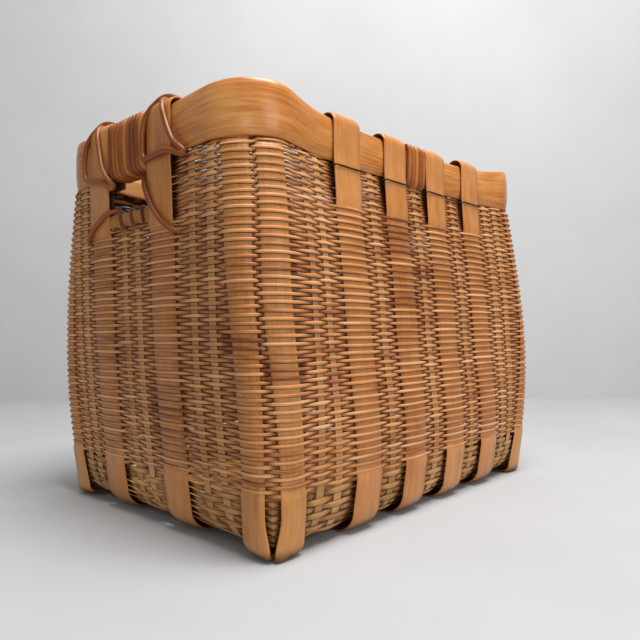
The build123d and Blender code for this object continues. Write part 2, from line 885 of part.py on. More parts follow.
for side, name in ((-1, "front"), (1, "back")):
    with BuildPart() as band_tie_right:
        tie_route = at_band(tie_points, side)
        limits = {1: tie_bend, 2: tie_bend, 5: tie_cord}
        lay_cord(tie_route, tie_cord, limits, f"band tie {name}")
    band_tie_right.part.label = f"band_tie_right_{name}"
    export_step(band_tie_right.part, f"parts/band_tie_right_{name}.step")

    with BuildPart() as band_tie_left:
        add(band_tie_right.part.mirror(Plane.YZ))
    band_tie_left.part.label = f"band_tie_left_{name}"
    export_step(band_tie_left.part, f"parts/band_tie_left_{name}.step")

    with BuildPart() as lock_cord_right:
        lay_cord(on_band(lock_points[side], side), tie_cord, {}, f"lock cord {name}")
    lock_cord_right.part.label = f"lock_cord_right_{name}"
    export_step(lock_cord_right.part, f"parts/lock_cord_right_{name}.step")

    with BuildPart() as lock_cord_left:
        add(lock_cord_right.part.mirror(Plane.YZ))
    lock_cord_left.part.label = f"lock_cord_left_{name}"
    export_step(lock_cord_left.part, f"parts/lock_cord_left_{name}.step")

# Wire ties: a short staple of wire across each long band, with its legs against the weave

with BuildPart() as wire_ties:
    height = rim_bottom - wire_drop
    rise = (height - long_band_exit) / (rim_bottom - fit - long_band_exit)
    lean = half_width(long_band_exit) * (1 - rise) + rim_width / 2 * rise
    out = lean + fit + strip_thickness + fit + wire / 2
    seat = half_width(height) + fit
    for index in range(4):
        reach = long_band_width / 2 + fit + wire / 2
        place = long_band_place(index)
        with BuildLine() as staple:
            FilletPolyline(
                (place - reach, seat, height),
                (place - reach, out, height),
                (place + reach, out, height),
                (place + reach, seat, height),
                radius=wire,
            )
        route = staple.wires()[0]
        with BuildSketch(Plane(origin=route @ 0, z_dir=route % 0)):
            Circle(wire / 2)
        sweep(path=route)
    mirror(about=Plane.XZ)

wire_ties.part.label = "wire_ties"
export_step(wire_ties.part, "parts/wire_ties.step")
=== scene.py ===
"""Split bamboo basket with two hand holes, dressed over its solid frame."""

import logging
import math
from collections.abc import Callable
from dataclasses import dataclass, replace
from enum import Enum

import bpy
import numpy as np
from mathutils import Matrix, Vector


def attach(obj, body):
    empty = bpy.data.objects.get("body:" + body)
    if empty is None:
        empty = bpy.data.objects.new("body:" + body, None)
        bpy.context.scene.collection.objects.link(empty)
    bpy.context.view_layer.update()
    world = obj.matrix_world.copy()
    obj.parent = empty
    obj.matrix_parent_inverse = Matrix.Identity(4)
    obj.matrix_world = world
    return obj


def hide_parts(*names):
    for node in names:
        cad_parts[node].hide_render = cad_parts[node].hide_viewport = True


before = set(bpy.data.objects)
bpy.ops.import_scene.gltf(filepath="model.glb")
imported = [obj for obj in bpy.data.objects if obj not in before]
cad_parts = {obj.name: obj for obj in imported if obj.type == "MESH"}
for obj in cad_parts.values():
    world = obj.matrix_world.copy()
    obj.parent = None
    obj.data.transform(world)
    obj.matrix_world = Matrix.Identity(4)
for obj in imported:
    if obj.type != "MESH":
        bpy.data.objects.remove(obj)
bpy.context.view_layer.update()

MM = 0.001
LOG = logging.getLogger("basket")
Array = np.ndarray


# Sizes that several pieces share, in mm

BAND_WIDTH = 40.0
SHORT_BAND_WIDTH = 42.0
SLAT_WIDTH = 28.0
SLAT_START = 6.5
STAKE_WIDTH = 10.0
# Middle of each hand hole, along the short side
HAND_PLACE = 12.0
BAND_PLACES = [8 + 81 * (i - 1.5) for i in range(4)]
SHORT_PLACES = [HAND_PLACE - 58.5, HAND_PLACE + 58.5]
# Heights where the long and the short bands come out from behind the rows
LONG_LEAVE = 324.0
SHORT_LEAVE = 303.0
# Middle of the wall's thickness, measured outwards from its surface
WALL_MIDDLE = -1.05
# How far the middle of each long side has drawn in, and how far it leans to the left
SIDE_DRAW_IN = 10.0
SIDE_LEAN = 6.0


# Small tools: colour, nodes and meshes


def linear(colour: str) -> tuple[float, float, float, float]:
    """Turn an sRGB hex colour into linear light.

    Args:
        colour: six hex digits, such as "c08a50".

    Returns:
        Linear red, green and blue, and full opacity.
    """
    parts = [int(colour[i:i + 2], 16) / 255 for i in (0, 2, 4)]
    low = [p / 12.92 if p <= 0.04045 else ((p + 0.055) / 1.055) ** 2.4 for p in parts]
    return (low[0], low[1], low[2], 1.0)


def add_node(
    tree: bpy.types.NodeTree, kind: str, links: dict | None = None, **settings: object
) -> bpy.types.Node:
    """Add one shader node.

    Args:
        tree: node tree that gets it.
        kind: the node's bl_idname.
        links: input name or index to an output socket or a plain value.
        settings: attributes of the node.

    Returns:
        The new node.
    """
    node = tree.nodes.new(kind)
    for name, value in settings.items():
        setattr(node, name, value)
    for key, value in (links or {}).items():
        if isinstance(value, bpy.types.NodeSocket):
            tree.links.new(value, node.inputs[key])
        else:
            node.inputs[key].default_value = value
    return node


def smooth_noise(points: Array, seed: float) -> Array:
    """Even, repeatable noise from -1 to 1: three sine waves of unlike length, added.

    Args:
        points: where the noise is wanted, in any unit.
        seed: shifts the waves against each other.

    Returns:
        Noise of the same shape as points.
    """
    waves = ((1.0, 0.0), (2.3, 1.7), (4.1, 4.2))
    return sum(np.sin(points * f + seed * (1.3 + f) + p) for f, p in waves) / 3


def scatter(shape: tuple[int, ...], seed: int) -> Array:
    """Repeatable random numbers from -1 to 1."""
    return np.random.RandomState(seed).uniform(-1, 1, shape)


def ease(value: Array) -> Array:
    """Smooth step from 0 to 1: three squares less two cubes of the clipped value."""
    value = np.clip(value, 0, 1)
    return value * value * (3 - 2 * value)


def settle(points: Array) -> Array:
    """Draw the middle of each long side in and let it lean, as use has.

    Both shifts are multiplied by ease((225 - |x|) / 90), which fades out towards the corners, by
    ease((z - 50) / 150), which grows up the wall, and by ease(|y| / 120), which spares the middle.

    Args:
        points: points in mm.

    Returns:
        Moved points.
    """
    x, y, z = points[..., 0], points[..., 1], points[..., 2]
    amount = ease((225 - np.abs(x)) / 90) * ease((z - 50) / 150) * ease(np.abs(y) / 120)
    return np.stack([x - SIDE_LEAN * amount, y - np.sign(y) * SIDE_DRAW_IN * amount, z], -1)


def tube_faces(tubes: int, length: int, around: int, closed: bool) -> tuple[Array, Array]:
    """Faces of tubes whose points are counted tube by tube, ring by ring, then round each ring.

    A quad joins point t and t + 1 of a ring to the same points of the next ring.

    Args:
        tubes: number of tubes.
        length: rings of a tube.
        around: points of a ring.
        closed: the last ring joins the first.

    Returns:
        Quads, shaped (n, 4), and end caps, shaped (n, around), none where the tubes are closed.
    """
    steps = length if closed else length - 1
    tube, ring, turn = np.meshgrid(np.arange(tubes), np.arange(steps), np.arange(around), indexing="ij")
    following = (ring + 1) % length
    beside = (turn + 1) % around
    start = tube * length * around
    quads = np.stack([start + ring * around + turn, start + ring * around + beside,
                      start + following * around + beside, start + following * around + turn], -1)
    first = np.arange(tubes)[:, None] * length * around + np.arange(around)[None, :]
    last = first + (length - 1) * around
    caps = np.concatenate([first[:, ::-1], last])
    return quads.reshape(-1, 4), caps[:0] if closed else caps


def build_mesh(name: str, rings: Array, facts: dict[str, Array], closed: bool = False) -> bpy.types.Object:
    """Turn rings of points into tubes: neighbouring rings are joined by quads, open tubes get end caps.

    The sum of normal times middle over all quads is above 0 where they point outwards. Where it is
    below 0, every face is turned round.

    Args:
        name: object name.
        rings: points in mm, shaped (tubes, rings, points round, 3).
        facts: attribute name to values shaped like rings without or with the last axis.
        closed: the last ring joins the first.

    Returns:
        The object, at the origin, with its faces outward.
    """
    tubes, length, around, _ = rings.shape
    quads, caps = tube_faces(tubes, length, around, closed)
    points = settle(rings.reshape(-1, 3)) * MM
    corners = points[quads]
    normals = np.cross(corners[:, 1] - corners[:, 0], corners[:, 2] - corners[:, 0])
    if np.einsum("ij,ij->i", normals, corners.mean(1)).sum() < 0:
        quads, caps = quads[:, ::-1], caps[:, ::-1]
    loops = np.concatenate([quads.reshape(-1), caps.reshape(-1)])
    totals = np.concatenate([np.full(len(quads), 4), np.full(len(caps), around)])
    starts = np.concatenate([[0], np.cumsum(totals)[:-1]])
    mesh = bpy.data.meshes.new(name)
    mesh.vertices.add(len(points))
    mesh.vertices.foreach_set("co", points.reshape(-1))
    mesh.loops.add(len(loops))
    mesh.loops.foreach_set("vertex_index", loops.astype(np.int32))
    mesh.polygons.add(len(totals))
    mesh.polygons.foreach_set("loop_start", starts.astype(np.int32))
    mesh.polygons.foreach_set("loop_total", totals.astype(np.int32))
    mesh.polygons.foreach_set("use_smooth", np.ones(len(totals), bool))
    for fact, values in facts.items():
        vector = values.ndim == 4
        layer = mesh.attributes.new(fact, "FLOAT_VECTOR" if vector else "FLOAT", "POINT")
        layer.data.foreach_set("vector" if vector else "value", values.astype(np.float32).reshape(-1))
    mesh.update(calc_edges=True)
    mesh.validate()
    obj = bpy.data.objects.new(name, mesh)
    bpy.context.collection.objects.link(obj)
    return obj


def strip_facts(
    rings: Array, along: Array, across: Array, ident: Array | float,
    tone: Array | float = 0.0, dirt: Array | float = 0.0,
) -> dict[str, Array]:
    """Collect what a strip's finish reads: place along and across it in mm, its number, its tone, and its
    painted shade and dirt.

    Args:
        rings: the strip's points.
        along: distance along the strip.
        across: distance across it.
        ident: number of the strip.
        tone: lighter above 0, darker below.
        dirt: painted shade and dirt, 0 none to 1 dark.

    Returns:
        Attributes for build_mesh.
    """
    shape = rings.shape[:3]
    grain = np.stack([np.broadcast_to(v, shape) for v in (along, across, ident)], -1)
    return {"grain": grain, "tone": np.broadcast_to(tone, shape), "dirt": np.broadcast_to(dirt, shape)}


def arc_length(points: Array) -> Array:
    """Distance along a line of points, from its start."""
    steps = np.linalg.norm(np.diff(points, axis=0), axis=1)
    return np.concatenate([[0.0], np.cumsum(steps)])


def resample(points: Array, count: int) -> Array:
    """Even steps along a line of points.

    Args:
        points: the line, shaped (n, axes).
        count: points wanted.

    Returns:
        Points shaped (count, axes).
    """
    run = arc_length(points)
    wanted = np.linspace(0, run[-1], count)
    return np.stack([np.interp(wanted, run, points[:, i]) for i in range(points.shape[1])], -1)


def rounded_path(points: Array, cuts: Array | float, count: int) -> Array:
    """Round the corners of a path of straight runs with quadratic curves.

    Each corner P is left out: the path leaves the run before it at a cut's distance and joins the
    next run at the same distance, on the curve (1-t) squared A + 2 t (1-t) P + t squared B.

    Args:
        points: corners.
        cuts: distance at each inner corner, never more than 0.48 of a run.
        count: points wanted along the result.

    Returns:
        The path, at even steps.
    """
    points = np.asarray(points, float)
    steps = np.diff(points, axis=0)
    lengths = np.linalg.norm(steps, axis=1)
    ways = steps / lengths[:, None]
    longest = 0.48 * np.minimum(lengths[:-1], lengths[1:])
    cut = np.minimum(np.broadcast_to(cuts, (len(points) - 2,)), longest)[:, None]
    corner = points[1:-1]
    before, after = corner - ways[:-1] * cut, corner + ways[1:] * cut
    t = np.linspace(0, 1, 9)[None, :, None]
    curve = (1 - t) ** 2 * before[:, None] + 2 * t * (1 - t) * corner[:, None] + t ** 2 * after[:, None]
    return resample(np.concatenate([points[:1], curve.reshape(-1, 3), points[-1:]]), count)


def round_cord(
    line: Array, radius: Array | float, lean: tuple[float, float, float], sides: int = 12
) -> Array:
    """Carry a circle along a line, with its first point always towards the same direction.

    Args:
        line: points of the cord's middle.
        radius: its radius, one value or one a point.
        lean: direction that is never along the cord.
        sides: points round the circle.

    Returns:
        Rings shaped (1, points, sides, 3).
    """
    tangent = np.gradient(line, axis=0)
    tangent /= np.linalg.norm(tangent, axis=1, keepdims=True)
    ref = np.asarray(lean, float)
    one = ref - tangent * (tangent @ ref)[:, None]
    one /= np.linalg.norm(one, axis=1, keepdims=True)
    two = np.cross(tangent, one)
    angle = np.linspace(0, 2 * math.pi, sides, endpoint=False)
    wide = np.broadcast_to(np.asarray(radius, float), (len(line),))[:, None, None]
    ring = one[:, None] * np.cos(angle)[None, :, None] + two[:, None] * np.sin(angle)[None, :, None]
    return (line[:, None] + ring * wide)[None]


def cord_facts(
    rings: Array, ident: float, tone: Array | float = 0.0, dirt: Array | float = 0.0
) -> dict[str, Array]:
    """Collect what a cord's finish reads: distance along its middle, and 3 mm times the sine of the turn.

    Args:
        rings: the cord's points; the first of several cords sets the distance along.
        ident: number of the cord.
        tone: lighter above 0, darker below.
        dirt: painted shade and dirt, 0 none to 1 dark.

    Returns:
        Attributes for build_mesh.
    """
    along = arc_length(rings[0].mean(1))[None, :, None]
    around = np.linspace(0, 2 * math.pi, rings.shape[2], endpoint=False)
    return strip_facts(rings, along, (np.sin(around) * 3)[None, None, :], ident, tone, dirt)


def hand_over(obj: bpy.types.Object, material: bpy.types.Material, slot: str, *nodes: str) -> None:
    """Give a finished piece its material and its body, and hide the nodes that it stands for.

    Args:
        obj: the piece.
        material: its finish.
        slot: not used.
        nodes: solids that it replaces.
    """
    obj.data.materials.append(material)
    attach(obj, "root")
    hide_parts(*nodes)
    LOG.info("%s: %d faces", obj.name, len(obj.data.polygons))


@dataclass(frozen=True)
class Section:
    """Cross-section of a strip, point by point from one edge over the outside and back on the inside.

    across holds shares of half the width, or of the whole width from the corner's edge in the slat's.
    deep holds shares of the thickness.
    """

    across: Array
    deep: Array


# Edges are thin and the outside is flat, as on a scraped split
WEAVER = Section(np.array([-1, -0.55, 0.55, 1, 0.7, -0.7]), np.array([-0.35, 0.5, 0.5, 0.05, -0.5, -0.5]))
STAKE_SECTION = Section(np.array([-1, -0.85, 0, 0.85, 1, 0.85, 0, -0.85]),
                        np.array([0, 0.42, 0.5, 0.42, 0, -0.5, -0.5, -0.5]))
PLAIT_SECTION = Section(np.array([-1, -0.9, 0.9, 1, 0.9, -0.9]), np.array([0, 0.5, 0.5, 0, -0.5, -0.5]))
# The outside rolls off towards both edges, as on a split of a round culm
BAND_SECTION = Section(np.array([-1, -0.97, -0.75, -0.4, 0, 0.4, 0.75, 0.97, 1, 0.9, 0.5, 0, -0.5, -0.9]),
                       np.array([0.3, 0.55, 0.8, 0.95, 1, 0.95, 0.8, 0.55, 0.3, 0, 0, 0, 0, 0]))
SLAT_SECTION = Section(np.array([0, 0.03, 0.12, 0.3, 0.5, 0.7, 0.88, 0.97, 1, 0.95, 0.75, 0.5, 0.25, 0.05]),
                       np.array([0.3, 0.58, 0.82, 0.96, 1, 0.96, 0.82, 0.58, 0.3, 0, 0, 0, 0, 0]))


# Finishes


# Colour of the painted shade in the gaps and under the basket, and of a little old dirt
SHADE_AND_DIRT_COLOUR = "421602"


def empty_material(name: str) -> tuple[bpy.types.Material, bpy.types.NodeTree]:
    """Start a material with no nodes.

    Args:
        name: the material's name.

    Returns:
        The material and its node tree.
    """
    mat = bpy.data.materials.new(name)
    mat.use_nodes = True
    mat.node_tree.nodes.clear()
    return mat, mat.node_tree


@dataclass(frozen=True)
class BambooFinish:
    """Split bamboo, planed and oiled by handling: long parallel fibres, a satin skin, darker age stains and
    painted shade.

    The grain runs along the strip: fibres of 0.25 to 0.6 mm, drawn as wide as the field fibre says, in
    mm, so that they show. Patches are about 45 mm long and 9 mm wide, and broad drifts 90 mm.
    """

    name: str
    light: str
    middle: str
    dark: str
    roughness: float = 0.42
    coat: float = 0.12
    fibre: float = 0.8
    grain_depth: float = 0.3

    def material(self) -> bpy.types.Material:
        """Build the node tree.

        The colour runs from dark to light with a weighted sum of fibres, patches, broad drifts and the
        strip's tone. Painted shade, with a little dirt, lies over it as deep as the attribute for them says,
        broken up by the patches.

        Returns:
            The material, which reads the attributes grain, tone and the painted shade with dirt.
        """
        mat, tree = empty_material(self.name)
        grain = add_node(tree, "ShaderNodeAttribute", attribute_name="grain").outputs["Vector"]
        tone = add_node(tree, "ShaderNodeAttribute", attribute_name="tone").outputs["Fac"]
        dirt = add_node(tree, "ShaderNodeAttribute", attribute_name="dirt").outputs["Fac"]
        spot = add_node(tree, "ShaderNodeTexCoord").outputs["Object"]
        fibre_place = add_node(tree, "ShaderNodeMapping", {0: grain, "Scale": (0.02, 1 / self.fibre, 7.3)})
        patch_place = add_node(tree, "ShaderNodeMapping", {0: grain, "Scale": (0.022, 0.11, 3.7)})
        patterns = ((fibre_place.outputs[0], 1.0, 3.0, 0.6), (patch_place.outputs[0], 1.0, 4.0, 0.62),
                    (spot, 11.0, 3.0, 0.55))
        fibre, patch, broad = [
            add_node(tree, "ShaderNodeTexNoise", {
                "Vector": place, "Scale": scale, "Detail": detail, "Roughness": rough}).outputs["Fac"]
            for place, scale, detail, rough in patterns]
        level = 0.0
        for source, weight in ((fibre, 0.45), (patch, 0.35), (broad, 0.3), (tone, 0.16)):
            links = {0: source, 1: weight, 2: level}
            level = add_node(tree, "ShaderNodeMath", links, operation="MULTIPLY_ADD").outputs[0]
        ramp = add_node(tree, "ShaderNodeValToRGB", {0: level})
        stops = ramp.color_ramp.elements
        stops[0].position, stops[0].color = 0.32, linear(self.dark)
        stops[1].position, stops[1].color = 0.72, linear(self.light)
        stops.new(0.52).color = linear(self.middle)
        # Painted shade with a little dirt: the attribute, broken up by the patches, mixes the shade colour
        # over the grain's colour
        broken = add_node(tree, "ShaderNodeMath", {0: patch, 1: 1.3, 2: 0.25}, operation="MULTIPLY_ADD")
        shade_and_stain = add_node(tree, "ShaderNodeMath", {0: dirt, 1: broken.outputs[0]}, operation="MULTIPLY",
                         use_clamp=True)
        shade_and_grime = add_node(tree, "ShaderNodeMix", {
            0: shade_and_stain.outputs[0], 6: ramp.outputs[0], 7: linear(SHADE_AND_DIRT_COLOUR)}, data_type="RGBA")
        relief = add_node(tree, "ShaderNodeMath", {0: fibre, 1: 0.7, 2: patch}, operation="MULTIPLY_ADD")
        bump = add_node(tree, "ShaderNodeBump", {
            "Strength": self.grain_depth, "Distance": 0.0004, "Height": relief.outputs[0]})
        rough = add_node(tree, "ShaderNodeMapRange", {
            0: fibre, 1: 0.3, 2: 0.7, 3: self.roughness - 0.08, 4: self.roughness + 0.12})
        shader = add_node(tree, "ShaderNodeBsdfPrincipled", {
            "Base Color": shade_and_grime.outputs[2], "Roughness": rough.outputs[0], "Normal": bump.outputs[0],
            "IOR": 1.45, "Specular IOR Level": 0.4, "Coat Weight": self.coat, "Coat Roughness": 0.3})
        add_node(tree, "ShaderNodeOutputMaterial", {0: shader.outputs[0]})
        return mat


@dataclass(frozen=True)
class WireFinish:
    """Annealed iron wire gone dull brown-black, with specks of rust about 1 mm across."""

    name: str = "annealed_iron_wire"

    def material(self) -> bpy.types.Material:
        """Build the node tree.

        Returns:
            The material, which reads Object coordinates.
        """
        mat, tree = empty_material(self.name)
        place = add_node(tree, "ShaderNodeTexCoord").outputs["Object"]
        rust = add_node(tree, "ShaderNodeTexNoise", {"Vector": place, "Scale": 900.0, "Detail": 3.0})
        ramp = add_node(tree, "ShaderNodeValToRGB", {0: rust.outputs["Fac"]})
        stops = ramp.color_ramp.elements
        stops[0].position, stops[0].color = 0.35, linear("2a2522")
        stops[1].position, stops[1].color = 0.7, linear("5a4535")
        shader = add_node(tree, "ShaderNodeBsdfPrincipled", {
            "Base Color": ramp.outputs[0], "Metallic": 0.85, "Roughness": 0.55})
        add_node(tree, "ShaderNodeOutputMaterial", {0: shader.outputs[0]})
        return mat


# Scraped weavers: honey to red-brown from row to row, with a low satin sheen
FINE_WEAVE = BambooFinish("split_bamboo_fine_weave", "e8a972", "cb8549", "86400c", fibre=0.7)
COARSE_WEAVE = BambooFinish("split_bamboo_coarse_weave", "d9a362", "be8648", "855220", fibre=0.8)
# Planed strips, oiled by hands: smooth, warm and a little glossy, the slats duller than the bands
BAND = BambooFinish("planed_bamboo_band", "da985a", "c07a3c", "864416", roughness=0.36, coat=0.15)
SLAT = BambooFinish("planed_bamboo_slat", "dca05e", "c68646", "905420", roughness=0.4, coat=0.1)
# Never handled: pale, dry and matt
STAKE = BambooFinish("inner_bamboo_stake", "d8ab78", "b98a58", "7d5330", roughness=0.62, coat=0.0, fibre=0.5)
# The culm's own skin, polished by use: glossy, with broad soft streaks
CULM = BambooFinish("polished_bamboo_culm", "de9c58", "bc7230", "803e0c", roughness=0.24, coat=0.3,
                    fibre=1.6, grain_depth=0.15)
# Worn by fingers: smooth and a little darker
SILL = BambooFinish("worn_bamboo_sill", "c98f50", "ad7232", "744018", roughness=0.4, coat=0.15)
# Peeled rattan, darkened by age and hands: fine lines along it and a satin sheen
RATTAN_RED = BambooFinish("red_brown_rattan", "be7228", "8c4816", "4a2004", roughness=0.42, coat=0.12,
                          fibre=0.5)
RATTAN_GOLD = BambooFinish("golden_rattan", "a65e22", "844214", "542406", roughness=0.38, coat=0.2, fibre=0.5)
RATTAN_DARK = BambooFinish("dark_rattan", "7c4620", "5d3012", "3c1c08", roughness=0.4, coat=0.2, fibre=0.5)


# Shape of the wall


def rounded_rectangle(
    s: Array, z: Array, half_a: Array, half_b: Array, r: Array, out: Array | float
) -> Array:
    """Points of a rounded rectangle.

    The corner's middle moves along the inner rectangle while the angle stands still, and the angle
    turns while the middle stands still, each in proportion to the length passed.

    Args:
        s: length along the outline, from the middle of the front left corner, to the right.
        z: heights.
        half_a: half of the length along X.
        half_b: half of the length along Y.
        r: radius of the corners.
        out: distance outside the outline.

    Returns:
        Points, shaped like s with a last axis of three.
    """
    a, b, q = half_a - r, half_b - r, r * math.pi / 2
    angle = np.full(np.broadcast(s, z).shape, -0.75 * math.pi)
    x = -a * np.ones_like(angle)
    y = -b * np.ones_like(angle)
    s = np.mod(s, 4 * q + 4 * a + 4 * b)
    parts = ((q / 2, 0.25, 0, 0), (2 * a, 0, 2 * a, 0), (q, 0.5, 0, 0), (2 * b, 0, 0, 2 * b), (q, 0.5, 0, 0),
             (2 * a, 0, -2 * a, 0), (q, 0.5, 0, 0), (2 * b, 0, 0, -2 * b), (q / 2, 0.25, 0, 0))
    passed = 0.0
    for length, turn, dx, dy in parts:
        share = np.clip((s - passed) / length, 0, 1)
        angle = angle + turn * math.pi * share
        x = x + dx * share
        y = y + dy * share
        passed = passed + length
    reach = r + out
    height = np.broadcast_to(z, angle.shape)
    return np.stack([x + reach * np.cos(angle), y + reach * np.sin(angle), height], -1)


@dataclass
class WallShape:
    """Outline of the basket at each height, in mm: a rounded rectangle that leans and swells."""

    foot_length: float = 464.0
    foot_width: float = 348.0
    foot_radius: float = 8.0
    rim_length: float = 518.0
    rim_width: float = 346.0
    rim_radius: float = 58.0
    rim_thickness: float = 7.0
    shoulder: float = 358.0
    shoulder_set_back: float = 2.0
    neck: float = 367.7
    neck_set_back: float = 7.3
    swell_length: float = 8.5
    swell_width: float = 18.0
    seam: float = 56.0
    tuck_depth: float = 14.0
    tuck_top: float = 39.8
    tuck_height: float = 31.3
    corner_start: float = 11.2
    least_radius: float = 2.7

    def set_back(self, z: Array) -> Array:
        """Distance of the wall inside the rim's face, growing in a straight line from shoulder to neck."""
        rise = np.clip((z - self.shoulder) / (self.neck - self.shoulder), 0, 1)
        return self.shoulder_set_back + (self.neck_set_back - self.shoulder_set_back) * rise

    def half(self, foot: float, rim: float, swell: float, z: Array) -> Array:
        """Half a side: a straight lean plus swell times the sine of pi times share to the power 0.85.

        Args:
            foot: length of the side at the foot.
            rim: its length at the rim.
            swell: how far it bellies out.
            z: heights.

        Returns:
            Half lengths, shaped like z.
        """
        share = np.clip(z / self.shoulder, 0, 1)
        lean = foot / 2 + (rim / 2 - self.shoulder_set_back - foot / 2) * share
        bellied = lean + swell * np.sin(math.pi * share ** 0.85)
        return np.where(z > self.shoulder, rim / 2 - self.set_back(z), bellied)

    def half_length(self, z: Array) -> Array:
        """Half of the long side at a height."""
        return self.half(self.foot_length, self.rim_length, self.swell_length, z)

    def half_width(self, z: Array) -> Array:
        """Half of the short side at a height."""
        return self.half(self.foot_width, self.rim_width, self.swell_width, z)

    def radius(self, z: Array) -> Array:
        """Radius of the upright corner: from 8 at the foot, growing with height to the power 0.6.

        Args:
            z: heights.

        Returns:
            Radii, shaped like z.
        """
        rise = np.clip((z - self.corner_start) / (self.shoulder - self.corner_start), 0, 1)
        top = self.rim_radius - self.shoulder_set_back
        grown = self.foot_radius + (top - self.foot_radius) * rise ** 0.6
        return grown - (self.set_back(z) - self.shoulder_set_back)

    def tuck(self, z: Array) -> Array:
        """How far the foot draws in: a quarter of an ellipse below the tuck's top."""
        drop = np.clip((self.tuck_top - z) / self.tuck_height, 0, 0.9999)
        return self.tuck_depth * (1 - np.sqrt(1 - drop ** 2))

    def sizes(self, z: Array, tucked: bool = True) -> tuple[Array, Array, Array]:
        """Half length, half width and corner radius at a height.

        Args:
            z: heights.
            tucked: draw the foot in.

        Returns:
            The three, shaped like z.
        """
        inset = self.tuck(z) if tucked else 0.0
        radius = np.maximum(self.radius(z) - inset, self.least_radius)
        return self.half_length(z) - inset, self.half_width(z) - inset, radius

    def outline(self, s: Array, z: Array, out: Array | float = 0.0, tucked: bool = True) -> Array:
        """Points of the wall at lengths s along its outline and heights z, pushed outwards by out."""
        half_a, half_b, r = self.sizes(z, tucked)
        return rounded_rectangle(s, z, half_a, half_b, r, out)

    def perimeter(self, z: Array, tucked: bool = True) -> Array:
        """Length of the outline at a height."""
        a, b, r = self.sizes(z, tucked)
        return 4 * (a - r) + 4 * (b - r) + 2 * math.pi * r


class Face(Enum):
    """The four sides, in the order in which the outline passes them."""

    FRONT = 0
    RIGHT = 1
    BACK = 2
    LEFT = 3


class Kind(Enum):
    """What an upright is."""

    SLAT = "slat"
    BAND = "band"
    STAKE = "stake"


def slat_shift(on_long: bool, z: Array) -> Array:
    """How much nearer to its corner a slat stands: most half-way up a long side or high on a short one."""
    return 7.0 * np.exp(-((z - 215) / 85) ** 2) if on_long else 8.0 * ease((z - 235) / 110)


@dataclass
class Upright:
    """One upright that the rows pass over and under, in mm.

    Its place runs along its side, in X or Y. Above the height exit it stands outside the rows. A slat's
    far_end says at which end of its side it stands.
    """

    face: Face
    kind: Kind
    place: float
    half: float
    exit: float = math.inf
    far_end: bool = False

    def station(self, wall: WallShape, z: Array, tucked: bool = True) -> Array:
        """Length along the outline to the upright's middle.

        Args:
            wall: shape of the wall.
            z: heights.
            tucked: draw the foot in.

        Returns:
            The lengths, shaped like z.
        """
        half_a, half_b, r = wall.sizes(z, tucked)
        a, b, q = half_a - r, half_b - r, r * math.pi / 2
        long_run, short_run = q + 2 * a, q + 2 * b
        number = self.face.value
        start = (0.0, long_run, long_run + short_run, 2 * long_run + short_run)[number]
        run = long_run if number % 2 == 0 else short_run
        if self.kind is Kind.SLAT:
            inset = SLAT_START + SLAT_WIDTH / 2 - slat_shift(number % 2 == 0, z)
            return start + (run - inset if self.far_end else inset)
        reach = a if number % 2 == 0 else b
        sign = 1 if number < 2 else -1
        return start + q / 2 + reach + sign * self.place


def spread(low: float, high: float, count: int) -> list[float]:
    """Places evenly spaced between two edges."""
    return [low + (high - low) * (i + 1) / (count + 1) for i in range(count)]


def side_uprights(
    face: Face, places: list[float], width: float, leave: float, edge: float, stakes: tuple[int, ...]
) -> list[Upright]:
    """Uprights of one side: a slat, the bands with stakes evenly spaced in every gap, and a slat.

    Args:
        face: the side.
        places: middles of its bands.
        width: width of its bands.
        leave: height where its bands come out from behind the rows.
        edge: how far from the middle the first and last gap reach.
        stakes: number of stakes in each gap.

    Returns:
        The uprights, by rising X or Y.
    """
    half = width / 2
    starts = [-edge] + [place + half for place in places]
    ends = [place - half for place in places] + [edge]
    bands = [Upright(face, Kind.BAND, place, half, leave) for place in places]
    row = [Upright(face, Kind.SLAT, 0, SLAT_WIDTH / 2)]
    for i, (start, end, count) in enumerate(zip(starts, ends, stakes)):
        row += [Upright(face, Kind.STAKE, place, STAKE_WIDTH / 2) for place in spread(start, end, count)]
        row += bands[i:i + 1]
    return row + [Upright(face, Kind.SLAT, 0, SLAT_WIDTH / 2, far_end=True)]


def long_face(face: Face) -> list[Upright]:
    """Uprights of a long side, by rising X."""
    return side_uprights(face, BAND_PLACES, BAND_WIDTH, LONG_LEAVE, 207.0, (2, 1, 1, 1, 2))


def short_face(face: Face) -> list[Upright]:
    """Uprights of a short side, by rising Y."""
    return side_uprights(face, SHORT_PLACES, SHORT_BAND_WIDTH, SHORT_LEAVE, 149.0, (2, 2, 2))


def turned(row: list[Upright]) -> list[Upright]:
    """The same uprights met from the other end."""
    return [replace(u, far_end=u.kind is Kind.SLAT and not u.far_end) for u in row[::-1]]


def all_uprights() -> list[Upright]:
    """All 46 uprights, in the order of the outline."""
    back, left = turned(long_face(Face.BACK)), turned(short_face(Face.LEFT))
    return long_face(Face.FRONT) + short_face(Face.RIGHT) + back + left


# Woven walls


# Samples that a row has at each upright
SAMPLES = 8
# Painted shade on a weaver, point by point round its section: most on its lower edge, as the shadow under
# each row, and on its inside
WEAVER_SHADE = np.array([1.4, 0.05, 0, 0.25, 1.0, 1.4])


@dataclass(frozen=True)
class Stain:
    """A darker stretch of the rows at one upright: its middle and reach up the wall in mm, and its depth."""

    upright: int
    height: float
    reach: float
    depth: float


STAINS = (
    Stain(45, 191.0, 3.0, 3.2), Stain(45, 182.0, 3.0, 3.2), Stain(0, 168.0, 3.0, 3.0),
    Stain(0, 160.0, 3.0, 3.0), Stain(5, 302.0, 22.0, 1.2), Stain(5, 235.0, 16.0, 1.1),
    Stain(42, 120.0, 32.0, 1.0), Stain(6, 262.0, 12.0, 0.9), Stain(2, 150.0, 10.0, 0.9),
    Stain(31, 200.0, 22.0, 1.0))


